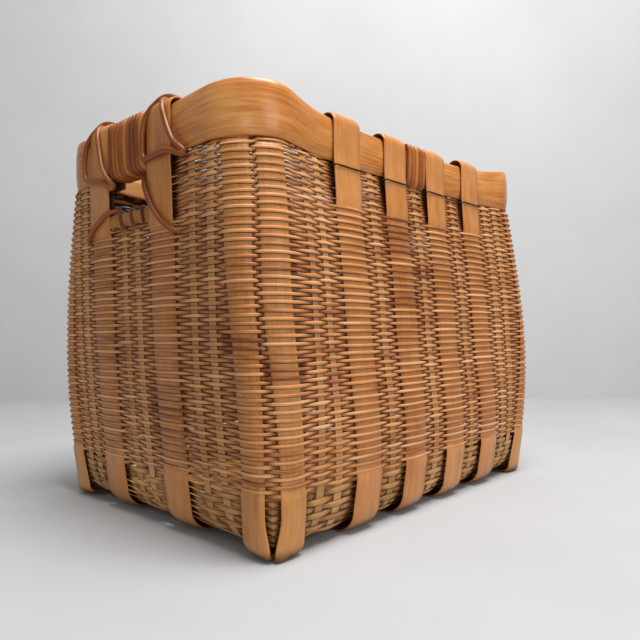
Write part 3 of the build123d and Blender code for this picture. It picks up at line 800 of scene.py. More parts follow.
@dataclass
class WovenRows:
    """Rows of split weavers that pass over and under the uprights, in mm.

    Depths are measured outwards from the wall's surface. A row that passes over an upright lies at bulge
    in the upright's middle and at edge at its edges. One that passes behind lies at behind, or at buried
    where a wide upright stands outside the rows. Wide uprights are the bands and slats, and over or
    behind them a row's height is multiplied by squeeze.
    """

    wall: WallShape
    uprights: list[Upright]
    lowest: float
    pitch: float
    half_height: float
    crossing_height: float
    thickness: float
    under_outside: bool = False
    seed: int = 1
    stains: tuple[Stain, ...] = ()
    bulge_wide: float = 2.25
    bulge_stake: float = 0.75
    edge_wide: float = 0.5
    edge_stake: float = 0.25
    behind_wide: float = -2.6
    behind_stake: float = -2.35
    buried: float = -3.1
    squeeze: float = 0.86

    def samples(self, rows: Array) -> dict[str, Array]:
        """Work out where each row is at eight samples for each upright.

        A weaver lies flat over an upright, runs straight from its edge to the next one's edge, and
        crosses the middle of the wall half-way. Its height is least where it crosses. Every sample is
        moved a little by noise, and its tone drifts by row and along the row.

        Args:
            rows: numbers of the rows.

        Returns:
            Arrays shaped (rows, uprights times 8): s, z, depth, half height, tone and painted shade.
        """
        number = len(self.uprights)
        heights = self.lowest + self.pitch * rows
        z = heights[:, None] * np.ones((1, number))
        half = np.array([u.half for u in self.uprights])[None, :]
        wide = np.array([u.kind is not Kind.STAKE for u in self.uprights])[None, :]
        outside = np.array([u.exit for u in self.uprights])[None, :]
        buried = (z > outside) | (wide & self.under_outside)
        over = ((rows[:, None] + np.arange(number)[None, :]) % 2 == 0) & ~buried
        place = self.places(heights, half)
        depth = self.depths(over, wide, buried)
        jitter = scatter((len(rows), number), self.seed)
        between = (jitter + np.roll(jitter, 1, 1)) / 2
        weave = np.stack([between, jitter * 0.5 + between * 0.5, jitter, jitter, jitter, jitter, jitter,
                          jitter * 0.6], 2)
        wander = (smooth_noise(place / 90.0, self.seed) * 0.07
                  + smooth_noise(place / 31.0 + rows[:, None, None] * 2.4, self.seed + 3) * 0.05)
        full = self.half_height * (1 + 0.07 * scatter((len(rows), number), self.seed + 1))
        full = np.where(wide, full * self.squeeze, full)[..., None]
        swelling = np.array([0, 0.4, 0.85, 1, 1, 1, 0.85, 0.4])
        height = self.crossing_height + (full - self.crossing_height) * swelling
        depth = depth + weave * 0.12 * (np.abs(depth - WALL_MIDDLE) > 0.3)
        row_tone = scatter((len(rows), 1, 1), self.seed + 2) * 0.3
        drift = smooth_noise(place / 60.0 + rows[:, None, None] * 5.1, self.seed + 7) * 0.6
        # Painted shade: the further in a sample lies, the darker it is painted
        found = {
            "s": place, "z": z[:, :, None] + self.pitch * (weave * 0.05 + wander), "depth": depth,
            "height": height, "tone": row_tone + drift + weave * 0.45 - self.shade_and_stain(z)[:, :, None],
            "dirt": np.clip(-0.08 - depth * 0.37, 0, 1)}
        return {key: value.reshape(len(rows), number * SAMPLES) for key, value in found.items()}

    def places(self, heights: Array, half: Array) -> Array:
        """Lengths along the wall of the samples at each upright.

        They are half-way from the upright before, a quarter of the gap nearer, the upright's edge, half
        of its half width, its middle, and the same again towards the next upright.

        Args:
            heights: heights of the rows.
            half: half widths of the uprights, shaped (1, uprights).

        Returns:
            Lengths shaped (rows, uprights, 8).
        """
        number = len(self.uprights)
        s = np.stack([u.station(self.wall, heights, self.under_outside) for u in self.uprights], 1)
        total = self.wall.perimeter(heights, self.under_outside)[:, None]
        following = np.roll(s, -1, 1) + np.where(np.arange(number) == number - 1, total, 0)
        cross_right = ((s + half) + (following - np.roll(half, -1, 1))) / 2
        cross_left = np.roll(cross_right, 1, 1) - np.where(np.arange(number) == 0, total, 0)
        left, right = s - half, s + half
        return np.stack([cross_left, (cross_left + left) / 2, left, s - half * 0.5,
                         s, s + half * 0.5, right, (right + cross_right) / 2], 2)

    def depths(self, over: Array, wide: Array, buried: Array) -> Array:
        """Distance outside the wall's surface of the samples at each upright.

        Args:
            over: the row passes over the upright.
            wide: the upright is a band or a slat, shaped (1, uprights).
            buried: the upright stands outside the row.

        Returns:
            Depths shaped (rows, uprights, 8).
        """
        behind = np.where(buried & wide, self.buried, np.where(wide, self.behind_wide, self.behind_stake))
        top = np.where(over, np.where(wide, self.bulge_wide, self.bulge_stake), behind)
        side = np.where(over, np.where(wide, self.edge_wide, self.edge_stake), behind + 0.1)
        middle = np.full_like(top, WALL_MIDDLE)
        mid = (side + middle) / 2
        shoulder = top * 0.72 + side * 0.28
        return np.stack([middle, mid, side, shoulder, top, shoulder, side, mid], 2)

    def shade_and_stain(self, z: Array) -> Array:
        """Darkening of each row at each upright: for each stain, its depth times a bell over the height.

        Args:
            z: heights, shaped (rows, uprights).

        Returns:
            Darkening, shaped like z.
        """
        total = np.zeros_like(z)
        for shade_and_stain in self.stains:
            here = np.arange(z.shape[1]) == shade_and_stain.upright
            total = total + shade_and_stain.depth * here[None, :] * np.exp(-((z - shade_and_stain.height) / shade_and_stain.reach) ** 2)
        return total

    def mesh(self, name: str, found: dict[str, Array], rows: Array, closed: bool) -> bpy.types.Object:
        """Put the weaver's flat section round each sample, across the wall's own surface.

        Args:
            name: object name.
            found: the samples.
            rows: numbers of the rows.
            closed: the rows close round the basket.

        Returns:
            The mesh object.
        """
        z = found["z"][..., None] + found["height"][..., None] * WEAVER.across
        out = found["depth"][..., None] + self.thickness * WEAVER.deep
        s = np.broadcast_to(found["s"][..., None], z.shape)
        rings = self.wall.outline(s, z, out, self.under_outside)
        # Painted shade round the section: darkest on the lower edge and the inside, added to the shade of the
        # depth
        dirt = np.clip(found["dirt"][..., None] + WEAVER_SHADE, 0, 1.4)
        tone = found["tone"][..., None]
        across = WEAVER.across * 2.0
        facts = strip_facts(rings, found["s"][..., None], across, rows[:, None, None], tone, dirt)
        return build_mesh(name, rings, facts, closed)

    def whole(self, name: str, rows: Array) -> bpy.types.Object:
        """Rows that close round the basket, as one mesh."""
        return self.mesh(name, self.samples(rows), rows, True)

    def parted(self, name: str, rows: Array, first: int, last: int) -> bpy.types.Object:
        """Rows that stop at the hand holes, from one upright's near edge to another's far edge.

        Args:
            name: object name.
            rows: numbers of the rows.
            first: upright where they start.
            last: upright where they end, counted on past the last one where needed.

        Returns:
            The mesh object.
        """
        total = len(self.uprights) * SAMPLES
        pick = np.arange(first * SAMPLES + 2, last * SAMPLES + 7)
        length = self.wall.perimeter(self.lowest + self.pitch * rows, self.under_outside)[:, None]
        chosen = {key: value[:, pick % total] for key, value in self.samples(rows).items()}
        chosen["s"] = chosen["s"] + (pick // total)[None, :] * length
        return self.mesh(name, chosen, rows, False)


@dataclass
class Walls:
    """The woven sides: fine rows above the seam and coarse rows below it."""

    wall: WallShape
    fine_pitch: float = 3.55
    fine_rows: int = 94
    fine_start: float = 1.8
    coarse_pitch: float = 6.4
    coarse_rows: int = 7
    coarse_lowest: float = 11.9
    hole_low: float = 303.5
    hole_high: float = 368.0

    def build(self) -> None:
        """Make the fine and the coarse rows and hand them over."""
        uprights = all_uprights()
        fine = WovenRows(self.wall, uprights, self.wall.seam + self.fine_start, self.fine_pitch,
                         half_height=1.95, crossing_height=1.6, thickness=1.25, stains=STAINS)
        rows = np.arange(self.fine_rows)
        heights = fine.lowest + fine.pitch * rows
        low = rows[heights < self.hole_low]
        hole = rows[(heights >= self.hole_low) & (heights < self.hole_high)]
        short = (Face.RIGHT, Face.LEFT)
        marks = [i for i, u in enumerate(uprights) if u.kind is Kind.BAND and u.face in short]
        thirds = np.array_split(low, 3)
        pieces = [fine.whole(f"fine_rows_{number + 1}", part) for number, part in enumerate(thirds)]
        pieces.append(fine.whole("fine_rows_top", rows[heights >= self.hole_high]))
        pieces.append(fine.parted("fine_rows_front", hole, marks[3], marks[0] + len(uprights)))
        pieces.append(fine.parted("fine_rows_back", hole, marks[1], marks[2]))
        material = FINE_WEAVE.material()
        for piece in pieces:
            hand_over(piece, material, "woven_bamboo_fine", "side_weave")
        coarse = WovenRows(self.wall, uprights, self.coarse_lowest, self.coarse_pitch, half_height=3.3,
                           crossing_height=2.8, thickness=1.5, under_outside=True, seed=31)
        piece = coarse.whole("coarse_rows", np.arange(self.coarse_rows))
        hand_over(piece, COARSE_WEAVE.material(), "woven_bamboo_coarse", "foot_weave")


@dataclass
class NarrowStakes:
    """The narrow uprights inside the rows, in mm. Those under a hand hole end at its lower edge."""

    wall: WallShape
    thickness: float = 1.5
    foot: float = 8.9
    top: float = 388.0
    hole_low: float = 303.0
    hole_reach: float = 30.0

    def build(self) -> None:
        """Make all stakes of each side as one mesh, and those under a hand hole as another."""
        material = STAKE.material()
        for face in Face:
            name = face.name.lower()
            group = [u for u in all_uprights() if u.face is face and u.kind is Kind.STAKE]
            on_short = face in (Face.RIGHT, Face.LEFT)
            under = [u for u in group if on_short and abs(u.place - HAND_PLACE) < self.hole_reach]
            full = [u for u in group if u not in under]
            pieces = ((f"stakes_{name}", full, self.top), (f"stakes_under_hole_{name}", under, self.hole_low))
            for piece, members, top in pieces:
                if members:
                    obj = self.mesh(piece, members, top)
                    hand_over(obj, material, "bamboo_stake", f"narrow_stakes_{name}")

    def mesh(self, name: str, group: list[Upright], top: float) -> bpy.types.Object:
        """Flat strips up the middle of the wall.

        Args:
            name: object name.
            group: the uprights.
            top: height of their ends.

        Returns:
            The mesh object.
        """
        z = np.concatenate([np.linspace(self.foot, 56, 12), np.linspace(60, top, 70)])
        rings = np.stack([self.strip(upright, z) for upright in group])
        across = STAKE_SECTION.across * STAKE_WIDTH / 2
        numbers = np.arange(len(group))[:, None, None] + 200.0
        tone = scatter((len(group), 1, 1), 5) * 0.4 + 0.2
        return build_mesh(name, rings, strip_facts(rings, z[None, :, None], across, numbers, tone, 0.1))

    def strip(self, upright: Upright, z: Array) -> Array:
        """One stake, whose middle and width waver a little with its height.

        Args:
            upright: the stake.
            z: heights of its rings.

        Returns:
            Points shaped (rings, 8, 3).
        """
        s = upright.station(self.wall, z, True)
        drift = smooth_noise(z / 70.0, upright.place) * 0.8
        wide = STAKE_WIDTH / 2 * (1 + 0.05 * smooth_noise(z / 40.0, upright.place + 2))
        offset = (s + drift)[:, None] + wide[:, None] * STAKE_SECTION.across
        depth = WALL_MIDDLE + self.thickness * STAKE_SECTION.deep
        return self.wall.outline(offset, np.broadcast_to(z[:, None], offset.shape), depth, True)


# Wide bands and corner slats


@dataclass
class WideBands:
    """The wide strips that run under the base, up two faces and over the rim, in mm."""

    wall: WallShape
    rim: "RimShape"
    thickness: float = 2.4
    crown: float = 0.7
    fit: float = 0.3
    sunk: float = 1.9
    bend: float = 26.0
    ramp: float = 9.0
    arch_gap: float = 6.0
    tail: float = 58.0
    stacked: float = 2.7

    def half_path(
        self, half: Callable[[Array], Array], rim_half: float, leave: float, low: float, rim_top: float
    ) -> Array:
        """Inner face of half a band as points (outwards, up), from the middle of the base to the tail.

        It runs flat under the base, turns up by a quarter of a circle, stands outside the foot, goes in
        behind the rows and comes out at leave. It then leans out to the rim's face, climbs it, turns over
        it by half a circle and hangs down inside.

        Args:
            half: function from height to half of the side.
            rim_half: half of the rim across the band's ends.
            leave: height where it comes out from behind the rows.
            low: height of its underside.
            rim_top: top of the rim where the band passes over it.

        Returns:
            Points shaped (n, 2).
        """
        top = low + self.thickness
        face = float(half(np.array(low + self.bend))) + self.fit
        centre = face + self.thickness - self.bend
        base = np.stack([np.linspace(0, centre, 24), np.full(24, top)], 1)
        turn = np.linspace(-math.pi / 2, 0, 14)[1:]
        inner = self.bend - self.thickness
        bend = np.stack([centre + inner * np.cos(turn), low + self.bend + inner * np.sin(turn)], 1)
        foot = np.linspace(low + self.bend, self.wall.seam, 6)[1:]
        side = np.stack([half(foot) + self.fit, foot], 1)
        woven = np.linspace(self.wall.seam + self.ramp, leave - self.ramp, 40)
        inside = np.stack([half(woven) - self.sunk, woven], 1)
        out = np.stack([half(np.array([leave])) + self.fit, np.array([leave])], 1)
        rise = np.linspace(0, 1, 8)[1:, None]
        neck = out + (np.array([[rim_half + self.fit, self.wall.neck]]) - out) * rise
        rim_face, tail_face = rim_half + self.fit, rim_half - self.rim.stack - self.fit
        middle, arch = (rim_face + tail_face) / 2, (rim_face - tail_face) / 2
        spring = rim_top + self.arch_gap - arch
        up = np.stack([np.full(6, rim_face), np.linspace(self.wall.neck, spring, 7)[1:]], 1)
        over = np.linspace(0, math.pi, 17)[1:]
        crest = np.stack([middle + arch * np.cos(over), spring + arch * np.sin(over)], 1)
        down = np.stack([np.full(10, tail_face), np.linspace(spring, spring - self.tail, 11)[1:]], 1)
        return np.concatenate([base, bend, side, inside, out, neck, up, crest, down])

    def rings(
        self, path: Array, place: float, width: float, along_x: bool, number: float
    ) -> tuple[Array, Array]:
        """Carry the crowned section along a band, whose middle and width waver a little on the way.

        Args:
            path: half of the inner face.
            place: middle of the band.
            width: its width.
            along_x: it lies in a plane of X and Z.
            number: seed for its small wavers.

        Returns:
            Rings and the length along the band.
        """
        mirrored = path[1:][::-1] * np.array([-1, 1])
        whole = np.concatenate([mirrored, path])
        tangent = np.gradient(whole, axis=0)
        tangent /= np.linalg.norm(tangent, axis=1, keepdims=True)
        normal = np.stack([tangent[:, 1], -tangent[:, 0]], 1)
        run = arc_length(whole)
        thick = BAND_SECTION.deep * (self.thickness + self.crown)
        wide = width / 2 * (1 + 0.012 * smooth_noise(run / 45.0, number))
        flat = whole[:, None, :] + normal[:, None, :] * thick[None, :, None]
        drift = smooth_noise(run / 160.0, number + 5) * 0.5
        lateral = place + drift[:, None] + wide[:, None] * BAND_SECTION.across
        if along_x:
            return np.stack([flat[..., 0], lateral, flat[..., 1]], -1)[None], run
        return np.stack([lateral, flat[..., 0], flat[..., 1]], -1)[None], run

    def shade_and_grime(self, rings: Array, leave: float) -> Array:
        """Painted shade of a band: most on its inner face, some near the floor and, up to leave, at its edges
        under the rows.

        Args:
            rings: the band's points.
            leave: height where it comes out from behind the rows.

        Returns:
            Painted shade, shaped like rings without its last axis.
        """
        inner = np.array([0.25, 0.12, 0, 0, 0, 0, 0, 0.12, 0.25, 0.7, 0.8, 0.8, 0.8, 0.7])
        edges = np.array([0.6, 0.5, 0.32, 0.18, 0.12, 0.18, 0.32, 0.5, 0.6, 0, 0, 0, 0, 0])
        z = rings[..., 2]
        low = 0.5 * (1 - ease((z - 3) / 16))
        woven = edges * ease((z - 64) / 6) * ease((leave - 6 - z) / 6)
        return np.clip(inner + low + woven + 0.03, 0, 1)

    def build(self) -> None:
        """Make the four long bands, and the two short ones that lie on them under the base."""
        material = BAND.material()
        wall = self.wall
        bands = [(f"long_band_strip_{n + 1}", f"long_band_{n + 1}", Face.FRONT, place, n * 3.1, 300.0 + n)
                 for n, place in enumerate(BAND_PLACES)]
        bands += [(f"short_band_strip_{end}", f"short_band_{end}", Face.LEFT, place, 20 + n * 2.7, 320.0 + n)
                  for n, (place, end) in enumerate(zip(SHORT_PLACES, ("front", "back")))]
        for name, node, face, place, seed, ident in bands:
            top = self.rim.at(face, place)[0]
            if face is Face.FRONT:
                width, leave = BAND_WIDTH, LONG_LEAVE
                path = self.half_path(wall.half_width, wall.rim_width / 2, leave, 0.0, top)
            else:
                width, leave = SHORT_BAND_WIDTH, SHORT_LEAVE
                path = self.half_path(wall.half_length, wall.rim_length / 2, leave, self.stacked, top)
            rings, run = self.rings(path, place, width, face is Face.LEFT, seed)
            across = BAND_SECTION.across * (width / 2)
            facts = strip_facts(rings, run[None, :, None], across, ident, 0.1, self.shade_and_grime(rings, leave))
            hand_over(build_mesh(name, rings, facts), material, "bamboo_band", node)


@dataclass
class CornerSlats:
    """Strips that stand beside each corner and fold under the base, in mm."""

    wall: WallShape
    thickness: float = 2.4
    crown: float = 0.6
    tight: float = 3.2
    bend: float = 14.0
    draw_in: float = 24.0
    stacked: float = 2.7
    face_out: float = 2.7
    outside: float = 0.3
    sunk: float = -1.9

    def leg(self, face: Face, low: float) -> tuple[Array, Array]:
        """Half of a slat: from the middle of the base, round its bend and up beside the corner.

        Upwards each point keeps its length from the corner's middle, and low down the edge draws in to
        the corner. The bend that turns it under is tight at the corner and wide at the far edge.
        Under the base it moves in from the edge by draw_in within 45 mm.

        Args:
            face: face it stands on, FRONT or LEFT.
            low: height of its underside.

        Returns:
            Points shaped (n, 14, 3) and the length along it.
        """
        wall, share = self.wall, SLAT_SECTION.across
        outer = SLAT_SECTION.deep * (self.thickness + self.crown)
        bend = self.tight + (self.bend - self.tight) * share
        foot = low + bend
        rise = np.linspace(0, 1, 16)[:, None]
        lower = foot + (wall.seam - foot) * rise
        levels = np.concatenate([np.linspace(65, wall.shoulder, 60), np.linspace(360, 366, 3)])
        height = np.concatenate([lower, levels[:, None] + np.zeros(len(share))])
        inner = np.interp(height, [wall.seam, 65], [self.outside, self.sunk])
        shift = slat_shift(face is Face.FRONT, height)
        start = SLAT_START - 5.0 * ease((40 - height) / 36) - shift
        along = start + (SLAT_START - shift + SLAT_WIDTH - start) * share
        way = 1 if face is Face.FRONT else -1
        upright = wall.outline(way * along, height, inner + outer, False)
        first = wall.outline(way * along[0], foot, 0.0, False)
        axis = 1 if face is Face.FRONT else 0
        turn = np.linspace(0, math.pi / 2, 9)[1:]
        centre_out = self.face_out - bend
        reach = self.outside + outer - centre_out
        under = np.repeat(first[None], len(turn), 0)
        under[:, :, axis] -= (centre_out + reach[None, :] * np.cos(turn)[:, None])
        under[:, :, 2] = foot - reach[None, :] * np.sin(turn)[:, None]
        run = np.linspace(0, 1, 16)[1:, None]
        base = np.repeat(under[-1:], len(run), 0)
        base[:, :, axis] = under[-1:, :, axis] * (1 - run)
        base[:, :, 1 - axis] += self.draw_in * ease(run * np.abs(under[-1:, :, axis]) / 45)
        points = np.concatenate([base[::-1], under[::-1], upright])
        return points, arc_length(points[:, 4])

    def build(self) -> None:
        """Make the four slats, each of two legs, and hand them over."""
        material = SLAT.material()
        edges = np.array([0.4, 0.3, 0.15, 0.06, 0.03, 0.06, 0.15, 0.3, 0.4, 0, 0, 0, 0, 0])
        over_x, over_y = np.array([-1, 1, 1]), np.array([1, -1, 1])
        slats = (("left", Face.FRONT, over_y, 1), ("right", Face.FRONT, over_y, over_x),
                 ("front", Face.LEFT, over_x, 1), ("back", Face.LEFT, over_x, over_y))
        for number, (name, face, second_leg, moved) in enumerate(slats):
            half, run = self.leg(face, 0.0 if face is Face.FRONT else self.stacked)
            far = (half * second_leg)[1:][::-1]
            rings = (np.concatenate([far, half]) * moved)[None]
            length = np.concatenate([-run[1:][::-1], run])
            z = rings[..., 2]
            # Painted shade: darker near the floor, and at the edges where the rows pass over the slat
            dirt = 0.05 + 0.85 * (1 - ease((z - 3) / 9)) + edges * ease((z - 64) / 6)
            across = SLAT_SECTION.across * SLAT_WIDTH
            facts = strip_facts(rings, length[None, :, None], across, 340.0 + number, 0.0, dirt)
            obj = build_mesh(f"corner_slat_strip_{name}", rings, facts)
            hand_over(obj, material, "bamboo_slat", f"corner_slat_{name}")


# Bottom


@dataclass
class PlaitedBase:
    """The flat bottom: strips over one and under one, in mm. Its outer edge rises to meet the walls."""

    half_length: float = 221.0
    half_width: float = 163.5
    strip: float = 11.4
    pitch: float = 12.0
    middle: float = 7.1
    swing: float = 0.62
    thickness: float = 0.9
    edge: float = 15.0
    edge_rise: float = 2.2

    def layer(self, reach: float, span: float, along_x: bool) -> tuple[Array, dict[str, Array]]:
        """Strips of one direction. Their height swings as a cosine with the crossings they pass.

        Args:
            reach: half of their length.
            span: half of the width that they cover.
            along_x: their direction.

        Returns:
            Rings and attributes.
        """
        count = int(2 * span / self.pitch)
        number = np.arange(count)
        places = (number - (count - 1) / 2) * self.pitch
        steps = np.arange(-reach, reach + 0.1, self.pitch / 4)
        phase = np.where(number % 2 == 0, 1.0, -1.0)[:, None] * (1.0 if along_x else -1.0)
        wave = self.swing * phase * np.cos(math.pi * steps / self.pitch)[None, :]
        across = PLAIT_SECTION.across * self.strip / 2
        shape = (count, len(steps), len(across))
        lateral = np.broadcast_to(places[:, None, None] + across, shape)
        line = np.broadcast_to(steps[None, :, None], shape)
        near_end = ease((np.abs(line) - reach + self.edge) / self.edge)
        near_side = ease((np.abs(lateral) - span + self.edge) / self.edge)
        rise = np.maximum(near_end, near_side)
        height = self.middle + wave[..., None] + PLAIT_SECTION.deep * self.thickness + self.edge_rise * rise
        rings = np.stack([line, lateral, height] if along_x else [lateral, line, height], -1)
        ident = number[:, None, None] + (400.0 if along_x else 500.0)
        tone = scatter((count, 1, 1), 9) * 0.5
        # Painted shade: darker all over, and darkest at the edge that rises under the walls
        return rings, strip_facts(rings, line, across, ident, tone, 0.35 + 0.65 * rise)

    def build(self) -> None:
        """Make both layers as two pieces."""
        material = COARSE_WEAVE.material()
        layers = {"lengthwise": self.layer(self.half_length, self.half_width, True),
                  "crosswise": self.layer(self.half_width, self.half_length, False)}
        for name, made in layers.items():
            hand_over(build_mesh(f"base_plait_{name}", *made), material, "woven_bamboo_coarse", "base_weave")


# Rim


@dataclass
class RimShape:
    """Outline and height of the rim, in mm: it stands highest at the corners, where the culm was bent.

    In each pair the first value is for the long sides and the second for the short ones.
    """

    wall: WallShape
    stack: float = 17.5
    inner_set_back: float = 12.0
    inner_thickness: float = 5.5
    inner_height: float = 23.0
    inner_drop: float = 17.0
    top_mid: tuple[float, float] = (400.0, 406.0)
    top_corner: float = 417.0
    bottom_mid: tuple[float, float] = (361.5, 362.0)
    bottom_corners: tuple[float, float, float, float] = (366.5, 361.5, 364.0, 359.0)
    reach: tuple[float, float] = (78.0, 118.0)
    blend: float = 60.0

    def spans(self) -> tuple[float, float, float]:
        """Straight runs along X and Y, and the length of a corner's arc."""
        r = self.wall.rim_radius
        return self.wall.rim_length - 2 * r, self.wall.rim_width - 2 * r, r * math.pi / 2

    def heights(self, s: Array) -> tuple[Array, Array]:
        """Top and bottom along the rim.

        Each is its side's middle height plus the corner's difference times its pull, which is 1 over
        1 + (distance / reach) to the power 2.2, where the distance is the length along the rim to the
        corner's middle. The top follows the strongest pull and the bottom their sum. Within the blend
        of a corner's middle the values of the long and the short side run into each other.

        Args:
            s: length along the rim from the middle of the front left corner.

        Returns:
            Top and bottom.
        """
        run_x, run_y, q = self.spans()
        marks = np.array([0, q + run_x, 2 * q + run_x + run_y, 3 * q + 2 * run_x + run_y])
        total = 4 * q + 2 * run_x + 2 * run_y
        s = np.mod(s, total)
        gap = np.abs((s[..., None] - marks + total / 2) % total - total / 2)
        on_long = np.where((s < marks[1]) | ((s > marks[2]) & (s < marks[3])), 1.0, 0.0)
        nearest = np.clip(1 - gap.min(-1) / self.blend, 0, 1) * 0.5
        longness = on_long + (1 - 2 * on_long) * nearest
        reach, top_mid, low_mid = [
            pair[1] + (pair[0] - pair[1]) * longness for pair in (self.reach, self.top_mid, self.bottom_mid)]
        pull = 1 / (1 + (gap / reach[..., None]) ** 2.2)
        top = top_mid + ((self.top_corner - top_mid)[..., None] * pull).max(-1)
        low = low_mid + ((np.array(self.bottom_corners) - low_mid[..., None]) * pull).sum(-1)
        return top, low

    def station(self, face: Face, place: float) -> float:
        """Length along the rim at a place on one of its sides, in the side's own X or Y.

        Args:
            face: the side.
            place: place along it.

        Returns:
            The length from the middle of the front left corner.
        """
        run_x, run_y, q = self.spans()
        middle = (q / 2 + run_x / 2, 1.5 * q + run_x + run_y / 2,
                  2.5 * q + 1.5 * run_x + run_y, 3.5 * q + 2 * run_x + 1.5 * run_y)[face.value]
        return middle + (place if face in (Face.FRONT, Face.RIGHT) else -place)

    def at(self, face: Face, place: float) -> tuple[float, float]:
        """Top and bottom of the rim at a place on one of its sides."""
        top, low = self.heights(np.array([self.station(face, place)]))
        return float(top[0]), float(low[0])

    def points(self, s: Array, z: Array, out: Array) -> Array:
        """Points of the rim's rounded rectangle, pushed outwards by out."""
        half_a, half_b, r = self.wall.rim_length / 2, self.wall.rim_width / 2, self.wall.rim_radius
        return rounded_rectangle(s, z, half_a, half_b, r, out)


@dataclass
class RimHoops:
    """The wide outer hoop and the lower hoop inside it, in mm.

    The outer one's face is crowned: it falls back by crown times the square of the share up from its
    middle. Both rings start half-way round, so that their seam lies at the far corner.
    """

    rim: RimShape
    crown: float = 2.0
    steps: int = 360
    wave: float = 0.25

    def ring(self, count: int, power: float) -> tuple[Array, Array]:
        """A squared circle: cosine and sine, each raised to a power that is below 1.

        Args:
            count: number of points.
            power: the power.

        Returns:
            Both coordinates, from -1 to 1.
        """
        angle = (np.arange(count) + 0.5) / count * 2 * math.pi
        cos, sin = np.cos(angle), np.sin(angle)
        return np.sign(cos) * np.abs(cos) ** power, np.sign(sin) * np.abs(sin) ** power

    def build(self) -> None:
        """Make both hoops and hand them over."""
        rim = self.rim
        run_x, run_y, q = rim.spans()
        s = (np.arange(self.steps) / self.steps + 0.5) * (4 * q + 2 * run_x + 2 * run_y)
        top, low = rim.heights(s)
        deep, high = self.ring(36, 0.42)
        z = ((top + low) / 2)[:, None] + ((top - low) / 2)[:, None] * high
        out = (deep - 1) * rim.wall.rim_thickness / 2 - self.crown * high ** 2 * (deep > -0.2)
        waver = smooth_noise(s / 55.0, 3.0)[:, None] * self.wave
        place = np.broadcast_to(s[:, None], z.shape)
        rings = rim.points(place, z, out + waver)[None]
        facts = strip_facts(rings, s[None, :, None], high * 21, 601.0, 0.15, 0.02)
        outer = build_mesh("rim_culm_outer", rings, facts, closed=True)
        hand_over(outer, CULM.material(), "bamboo_culm", "rim_outer_hoop")
        deep, high = self.ring(20, 0.4)
        z = (top - rim.inner_drop)[:, None] - rim.inner_height / 2 * (1 - high)
        out = -rim.inner_set_back + (deep - 1) * rim.inner_thickness / 2
        rings = rim.points(np.broadcast_to(s[:, None], z.shape), z, out)[None]
        facts = strip_facts(rings, s[None, :, None], high * 11, 602.0, -0.2, 0.1)
        inner = build_mesh("rim_culm_inner", rings, facts, closed=True)
        hand_over(inner, SLAT.material(), "bamboo_culm", "rim_inner_hoop")


# Rattan, sills and wire


@dataclass(frozen=True)
class Lashing:
    """One kind of winding, in mm: its cord, its turns, its middle and half length, and its golden turns."""

    piece: str
    node: str
    cord: float
    turns: int
    place: float
    reach: float
    golden: tuple[int, ...]
    along_x: bool
    ident: float


GRIP = Lashing("grip_rattan", "grip_lashing", 6.2, 9, HAND_PLACE, 34.1, (0, 4), False, 700.0)
SIDE = Lashing("side_rattan", "side_lashing", 5.6, 5, 8.0, 17.4, (2,), True, 710.0)


@dataclass
class Windings:
    """Rattan wound round the rim over the hand holes and in the middle of each long side, in mm."""

    rim: RimShape
    fit: float = 0.3
    golden_tone: float = 1.9

    def section(self, half_rim: float, cord: float, top: float, low: float) -> Array:
        """Corners of one turn round the two hoops, as (outwards, up).

        Args:
            half_rim: half of the rim across this side.
            cord: thickness of the rattan.
            top: top of the rim here.
            low: bottom of the rim here.

        Returns:
            Points shaped (n, 2), from the lowest inner one on round.
        """
        out = cord / 2 + self.fit
        inside = half_rim - self.rim.stack - out
        outside = half_rim - 1.0 + out
        inner_top = top - self.rim.inner_drop + out
        return np.array([[inside, low - out], [outside, low - out], [half_rim + out, (top + low) / 2],
                         [outside, top + out], [half_rim - 9.0, top + out + 0.2], [inside, inner_top]])

    def winding(self, section: Array, kind: Lashing) -> Array:
        """A helix whose turns follow the section: the section's corners again and again, moved on evenly.

        Args:
            section: corners of a turn.
            kind: sizes of the winding.

        Returns:
            Rings of the cord.
        """
        low, high = kind.place - kind.reach, kind.place + kind.reach
        corners = np.concatenate([np.tile(section, (kind.turns, 1)), section[:1]])
        place = np.linspace(low, high, len(corners))
        axis = 0 if kind.along_x else 1
        route = np.insert(corners, axis, place, axis=1)
        line = rounded_path(route, kind.cord * 1.1, kind.turns * 44)
        line[:, axis] += smooth_noise(np.arange(len(line)) / 9.0, low) * 0.12
        radius = kind.cord / 2 * (1 + 0.03 * smooth_noise(np.arange(len(line)) / 13.0, high))
        return round_cord(line, radius, (1.0, 0.0, 0.0) if kind.along_x else (0.0, 1.0, 0.0), 14)

    def turn_tone(self, rings: Array, kind: Lashing) -> Array:
        """Tone along a winding: the golden turns are much lighter, the others waver round 0.

        Args:
            rings: the cord's points.
            kind: says which turns are golden.

        Returns:
            Tone, shaped (1, rings, 1).
        """
        turn = np.floor(np.linspace(0, kind.turns - 1e-6, rings.shape[1])).astype(int)
        tone = scatter((kind.turns,), 17)[turn] * 0.5
        return np.where(np.isin(turn, kind.golden), self.golden_tone, tone)[None, :, None]

    def build(self) -> None:
        """Make the four windings and hand them over."""
        material = RATTAN_RED.material()
        wall = self.rim.wall
        for kind, face, side in ((GRIP, Face.LEFT, -1), (GRIP, Face.RIGHT, 1),
                                 (SIDE, Face.FRONT, -1), (SIDE, Face.BACK, 1)):
            top, low = self.rim.at(face, kind.place)
            half_rim = (wall.rim_width if kind.along_x else wall.rim_length) / 2
            rings = self.winding(self.section(half_rim, kind.cord, top, low), kind)
            rings = rings * np.array([1, side, 1] if kind.along_x else [side, 1, 1])
            facts = cord_facts(rings, kind.ident + side, self.turn_tone(rings, kind), 0.1)
            name = face.name.lower()
            obj = build_mesh(f"{kind.piece}_{name}", rings, facts)
            hand_over(obj, material, "rattan_winding", f"{kind.node}_{name}")


Route = tuple[tuple[float, float, float], ...]

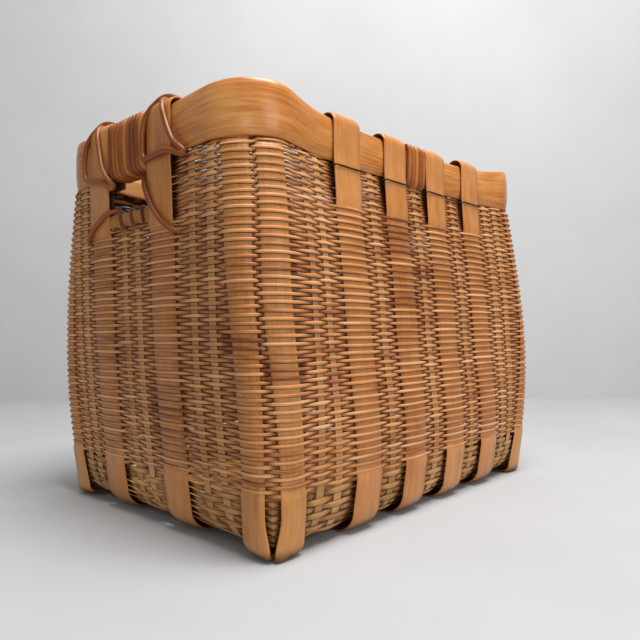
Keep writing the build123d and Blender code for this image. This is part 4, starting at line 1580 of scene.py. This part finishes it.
# Points of the cords of the front and of the back band, from inside the rim on: outwards from the
# rim's face, place along the side and height
TIES: tuple[Route, Route] = (
    ((-23.5, -38, 386), (-23.2, -42, 402), (-18.9, -45, 415.5), (-8.7, -49, 419.6), (1.5, -54, 415.5),
     (5.8, -60, 405), (5.8, -67, 390), (6.0, -77, 373), (4.8, -87, 365), (1.0, -91, 361), (4.0, -88, 358.5),
     (6.6, -72, 366), (6.6, -50, 365.4), (6.0, -30, 363), (5.4, -25.5, 369), (5.8, -25, 384),
     (5.2, -27, 399), (2.5, -33, 410.5), (-6, -48, 424.0), (-18, -62, 418), (-23.5, -67, 402),
     (-24, -70, 388)),
    ((-23.5, 80, 386), (-23.2, 78, 402), (-18.9, 76, 415.5), (-8.7, 73.5, 419.6), (1.5, 70, 415.5),
     (5.8, 66, 405), (5.8, 60, 386), (8.0, 50, 368), (6.5, 42, 357), (1.0, 38, 351), (3.5, 40, 347),
     (6.6, 48, 353.5), (6.6, 72, 359), (6.2, 88, 362), (5.6, 93.5, 368), (5.8, 94.5, 384),
     (5.0, 92, 398), (2.5, 86, 409), (-6, 71, 424.0), (-18, 57, 418), (-23.5, 52, 402),
     (-24, 50, 388)))
LOCKS: tuple[Route, Route] = (
    ((-9, -20, 351), (1, -21.5, 348), (4.5, -26, 341), (4.6, -36, 321), (4.2, -52, 304), (3.4, -66, 294),
     (1.2, -73, 290.5), (-8, -76, 290)),
    ((-9, 40, 326), (0, 45, 324), (4.5, 52, 320.5), (4.4, 66, 313.5), (4.0, 79, 307), (3.2, 87, 301),
     (1.2, 94, 296), (-8, 97, 294)))


@dataclass
class BandCords:
    """The cords over each short band, in mm: one over the rim and across it, one from the hole down."""

    rim: RimShape
    cord: float = 5.2
    drawn_top: float = 409.8
    rounding: float = 30.0
    tie_samples: int = 240
    lock_samples: int = 80
    knot_sample: int = 116
    knot_reach: float = 20.0
    knot_growth: float = 0.4

    def route(self, points: Route, rise: float) -> Array:
        """Put a cord's points on the right face, those over the rim moved by rise.

        Args:
            points: the cord's points.
            rise: how much higher the rim stands here than the points were drawn for.

        Returns:
            Points shaped (n, 3).
        """
        raw = np.array(points, float)
        lift = np.where(raw[:, 2] > 395, rise, 0.0)
        return np.stack([self.rim.wall.rim_length / 2 + raw[:, 0], raw[:, 1], raw[:, 2] + lift], -1)

    def build(self) -> None:
        """Make ties and locks of all four short band ends. A tie is thicker at its knot, by a bell."""
        material = RATTAN_GOLD.material()
        steps = np.arange(self.tie_samples) - self.knot_sample
        knot = np.exp(-(steps / self.knot_reach) ** 2) * self.knot_growth
        for number, name in enumerate(("front", "back")):
            for mirror, end, face in ((-1, "left", Face.LEFT), (1, "right", Face.RIGHT)):
                rise = self.rim.at(face, SHORT_PLACES[number])[0] - self.drawn_top
                tie = rounded_path(self.route(TIES[number], rise), self.rounding, self.tie_samples)
                lock = rounded_path(self.route(LOCKS[number], 0.0), self.rounding, self.lock_samples)
                cords = ((tie, knot, "band_rattan", "band_tie"), (lock, 0.0, "hole_rattan", "lock_cord"))
                for line, growth, piece, node in cords:
                    radius = self.cord / 2 * (1 + growth)
                    rings = round_cord(line * np.array([mirror, 1, 1]), radius, (0.31, 0.2, 0.93), 14)
                    facts = cord_facts(rings, 720.0 + number + mirror * 3, 0.0, 0.05)
                    obj = build_mesh(f"{piece}_{end}_{name}", rings, facts)
                    hand_over(obj, material, "rattan_cord", f"{node}_{end}_{name}")


@dataclass
class HandSills:
    """The strip that edges the bottom of each hand hole, and the thin cord round it, in mm.

    The strip is nipped by nip_share where each turn of the cord crosses its face.
    """

    wall: WallShape
    length: float = 74.4
    top: float = 321.0
    height: float = 16.0
    thickness: float = 9.0
    set_back: float = 2.2
    cord: float = 3.0
    bite: float = 0.5
    turns: int = 3
    pitch: float = 21.0
    nip_share: float = 0.13
    nip_shift: float = 5.2

    def strip(self, middle: float, y: Array) -> tuple[Array, Array]:
        """The sill on the right face: a squared circle of powers 0.7, carried along the hole.

        Args:
            middle: distance of its middle from the basket's middle.
            y: places of its rings, from its own middle.

        Returns:
            Rings, and the share up of each point of a ring.
        """
        angle = (np.arange(28) + 0.5) / 28 * 2 * math.pi
        deep = np.sign(np.cos(angle)) * np.abs(np.cos(angle)) ** 0.7
        high = np.sign(np.sin(angle)) * np.abs(np.sin(angle)) ** 0.7
        marks = (np.arange(self.turns) - 1) * self.pitch + self.nip_shift
        nip = np.exp(-((y[:, None] - marks) / 4.5) ** 2).max(1)
        grow = (1 - self.nip_share * nip)[:, None]
        x = middle + deep * self.thickness / 2 * grow
        z = self.top - self.height / 2 + high * self.height / 2 * grow
        return np.stack([x, np.broadcast_to(HAND_PLACE + y[:, None], x.shape), z], -1)[None], high

    def winding(self, middle: float) -> Array:
        """The cord: the corners of a rectangle round the sill, again and again, moved on evenly.

        Args:
            middle: distance of the sill's middle from the basket's middle.

        Returns:
            Rings of the cord on the right face.
        """
        out = self.cord / 2 - self.bite
        outer, inner = middle + self.thickness / 2 + out, middle - self.thickness / 2 - out
        low, high = self.top - self.height - out, self.top + out
        corners = np.array([[outer, low], [outer, high], [inner, high], [inner, low]])
        loop = np.concatenate([np.tile(corners, (self.turns, 1)), corners[:1]])
        half_run = self.pitch * self.turns / 2
        run = np.linspace(-half_run, half_run, len(loop)) + HAND_PLACE
        line = rounded_path(np.stack([loop[:, 0], run, loop[:, 1]], -1), 4.5, 150)
        return round_cord(line, self.cord / 2, (0.0, 1.0, 0.0), 10)

    def build(self) -> None:
        """Make both sills and their cords."""
        middle = float(self.wall.half_length(np.array(self.top))) - self.set_back
        y = np.linspace(-self.length / 2, self.length / 2, 90)
        rings, high = self.strip(middle, y)
        cord = self.winding(middle)
        sill_finish, cord_finish = SILL.material(), RATTAN_DARK.material()
        for mirror, end in ((-1, "left"), (1, "right")):
            flip = np.array([mirror, 1, 1])
            facts = strip_facts(rings, y[None, :, None], high * 8, 740.0 + mirror, 0.0, 0.12)
            sill = build_mesh(f"sill_strip_{end}", rings * flip, facts)
            hand_over(sill, sill_finish, "bamboo_sill", f"hand_sill_{end}")
            bound = build_mesh(f"sill_rattan_{end}", cord * flip, cord_facts(cord, 750.0 + mirror))
            hand_over(bound, cord_finish, "rattan_thin", f"sill_cord_{end}")


@dataclass
class WireTies:
    """Thin iron wire that holds the long bands to the weave just below the rim, in mm.

    One wire crosses one band, or goes on over the next one too, and both ends go into the weave.
    """

    rim: RimShape
    wire: float = 1.7
    drop: float = 4.4
    over_band: float = 3.25
    seat: float = 1.4
    end_depth: float = 5.0
    spans: tuple[tuple[int, int], ...] = ((0, 0), (1, 1), (2, 3))

    def staple(self, first: int, last: int, face: Face) -> Array:
        """One wire, whose height over each band follows the rim's lower edge.

        Args:
            first: number of the first band.
            last: number of the last band.
            face: FRONT or BACK.

        Returns:
            Rings of the wire, on the back face's side.
        """
        wall = self.rim.wall
        reach = BAND_WIDTH / 2 + 0.6
        route = []
        for place in BAND_PLACES[first:last + 1]:
            z = self.rim.at(face, place)[1] - self.drop
            rise = (z - LONG_LEAVE) / (wall.neck - LONG_LEAVE)
            lean = float(wall.half_width(np.array(LONG_LEAVE))) * (1 - rise) + wall.rim_width / 2 * rise
            out = lean + self.over_band + self.wire / 2
            seat = float(wall.half_width(np.array(z))) + self.seat
            route += [(place - reach, seat, z - 0.4), (place - reach + 1.2, out, z),
                      (place + reach - 1.2, out, z - 0.5), (place + reach, seat, z - 0.2)]
        ends = [(x, y - self.end_depth, z) for x, y, z in (route[0], route[-1])]
        line = rounded_path(np.array(ends[:1] + route + ends[1:]), 1.3, 90)
        return round_cord(line, self.wire / 2, (0.02, 0.05, 1.0), 8)

    def build(self) -> None:
        """Make the wires of each long side as one piece."""
        material = WireFinish().material()
        for face, side in ((Face.FRONT, -1), (Face.BACK, 1)):
            rings = np.concatenate([self.staple(first, last, face) for first, last in self.spans])
            rings = rings * np.array([1, side, 1])
            obj = build_mesh(f"band_wires_{face.name.lower()}", rings, cord_facts(rings, 760.0))
            hand_over(obj, material, "iron_wire", "wire_ties")


# Studio


@dataclass
class Studio:
    """Pale floor and wall, soft light and the camera, in metres and degrees."""

    floor_colour: str = "b9babb"
    wall_colour: str = "c9c9c9"
    wall_depth: float = 1.727
    place: tuple[float, float, float] = (-0.5792, -0.5530, 0.1989)
    yaw: float = 47.12
    pitch: float = 0.78
    roll: float = -0.39
    lens: float = 34.076
    sky: float = 0.34

    def plaster(self, name: str, colour: str) -> bpy.types.Material:
        """Matt pale plaster with a faint mottling, about 30 cm across.

        Args:
            name: the material's name.
            colour: its sRGB hex colour.

        Returns:
            The material, which reads Object coordinates.
        """
        mat, tree = empty_material(name)
        place = add_node(tree, "ShaderNodeTexCoord").outputs["Object"]
        mottle = add_node(tree, "ShaderNodeTexNoise", {
            "Vector": place, "Scale": 3.5, "Detail": 6.0, "Roughness": 0.6})
        level = add_node(tree, "ShaderNodeMapRange", {
            0: mottle.outputs["Fac"], 1: 0.3, 2: 0.7, 3: 0.95, 4: 1.03})
        tint = add_node(tree, "ShaderNodeMix", {0: 1.0, 6: linear(colour), 7: level.outputs[0]},
                        data_type="RGBA", blend_type="MULTIPLY")
        shader = add_node(tree, "ShaderNodeBsdfPrincipled", {
            "Base Color": tint.outputs[2], "Roughness": 0.85})
        add_node(tree, "ShaderNodeOutputMaterial", {0: shader.outputs[0]})
        return mat

    def sheet(self, name: str, corners: Array, material: bpy.types.Material) -> None:
        """One flat sheet that belongs to the stage.

        Args:
            name: object name.
            corners: its four corners.
            material: its plaster.
        """
        mesh = bpy.data.meshes.new(name)
        mesh.from_pydata([tuple(c) for c in corners], [], [(0, 1, 2, 3)])
        obj = bpy.data.objects.new(name, mesh)
        bpy.context.collection.objects.link(obj)
        mesh.materials.append(material)

    def lamp(
        self, name: str, place: tuple[float, float, float], target: tuple[float, float, float],
        size: float, power: float,
    ) -> None:
        """A square soft white light that looks at a target.

        Args:
            name: object name.
            place: where it stands.
            target: where it looks.
            size: side of the square.
            power: watts.
        """
        data = bpy.data.lights.new(name, "AREA")
        data.size = size
        data.energy = power
        obj = bpy.data.objects.new(name, data)
        bpy.context.collection.objects.link(obj)
        obj.location = place
        obj.rotation_euler = (Vector(target) - Vector(place)).to_track_quat("-Z", "Y").to_euler()

    def camera(self, right: Array, up: Array, ahead: Array) -> None:
        """Set up the camera with its own right, up and forward directions.

        Args:
            right: unit vector.
            up: unit vector.
            ahead: unit vector.
        """
        camera = bpy.data.objects.new("camera", bpy.data.cameras.new("camera"))
        bpy.context.collection.objects.link(camera)
        camera.data.lens = self.lens
        camera.data.sensor_width = 36.0
        camera.data.clip_start = 0.01
        matrix = np.identity(4)
        matrix[:3] = np.stack([right, up, -ahead, np.array(self.place)], 1)
        camera.matrix_world = Matrix(matrix.tolist())
        bpy.context.scene.camera = camera

    def build(self) -> None:
        """Make floor, wall, lights, world and camera."""
        yaw, pitch, roll = (math.radians(v) for v in (self.yaw, self.pitch, self.roll))
        ahead = np.array([math.sin(yaw) * math.cos(pitch), math.cos(yaw) * math.cos(pitch), math.sin(pitch)])
        side = np.array([math.cos(yaw), -math.sin(yaw), 0.0])
        above = np.cross(side, ahead)
        right = math.cos(roll) * side + math.sin(roll) * above
        self.camera(right, -math.sin(roll) * side + math.cos(roll) * above, ahead)
        scene = bpy.context.scene
        scene.view_settings.view_transform = "Standard"
        flat = np.array([math.sin(yaw), math.cos(yaw), 0.0])
        low = np.array([0.0, 0.0, -0.0004])
        foot = np.array([self.place[0], self.place[1], 0.0]) + flat * self.wall_depth
        wide, tall = side * 5.0, np.array([0.0, 0.0, 4.0])
        near = foot - flat * 6.0
        self.sheet("backdrop", np.array([foot - wide + low, foot + wide + low, foot + wide + tall,
                                         foot - wide + tall]),
                   self.plaster("pale_wall_plaster", self.wall_colour))
        self.sheet("floor", np.array([near - wide + low, near + wide + low, foot + wide + low,
                                      foot - wide + low]),
                   self.plaster("pale_floor_plaster", self.floor_colour))
        world = bpy.data.worlds.new("soft_room")
        scene.world = world
        world.use_nodes = True
        background = world.node_tree.nodes["Background"]
        background.inputs[0].default_value = linear("f8f8f8")
        background.inputs[1].default_value = self.sky
        self.lamp("overhead_light", (-0.1, -0.65, 2.1), (0.0, -0.05, 0.2), 1.0, 56.0)
        self.lamp("front_light", (-0.3, -1.5, 0.6), (-0.05, 0.0, 0.25), 0.7, 4.2)
        self.lamp("corner_light", (-1.6, -1.3, 0.5), (-0.2, -0.1, 0.3), 0.5, 2.4)


def main() -> None:
    """Build the pieces in order and report each."""
    logging.basicConfig(level=logging.INFO)
    wall = WallShape()
    Walls(wall).build()
    NarrowStakes(wall).build()
    rim = RimShape(wall)
    WideBands(wall, rim).build()
    CornerSlats(wall).build()
    PlaitedBase().build()
    RimHoops(rim).build()
    Windings(rim).build()
    BandCords(rim).build()
    HandSills(wall).build()
    WireTies(rim).build()
    Studio().build()


if __name__ == "__main__":
    main()
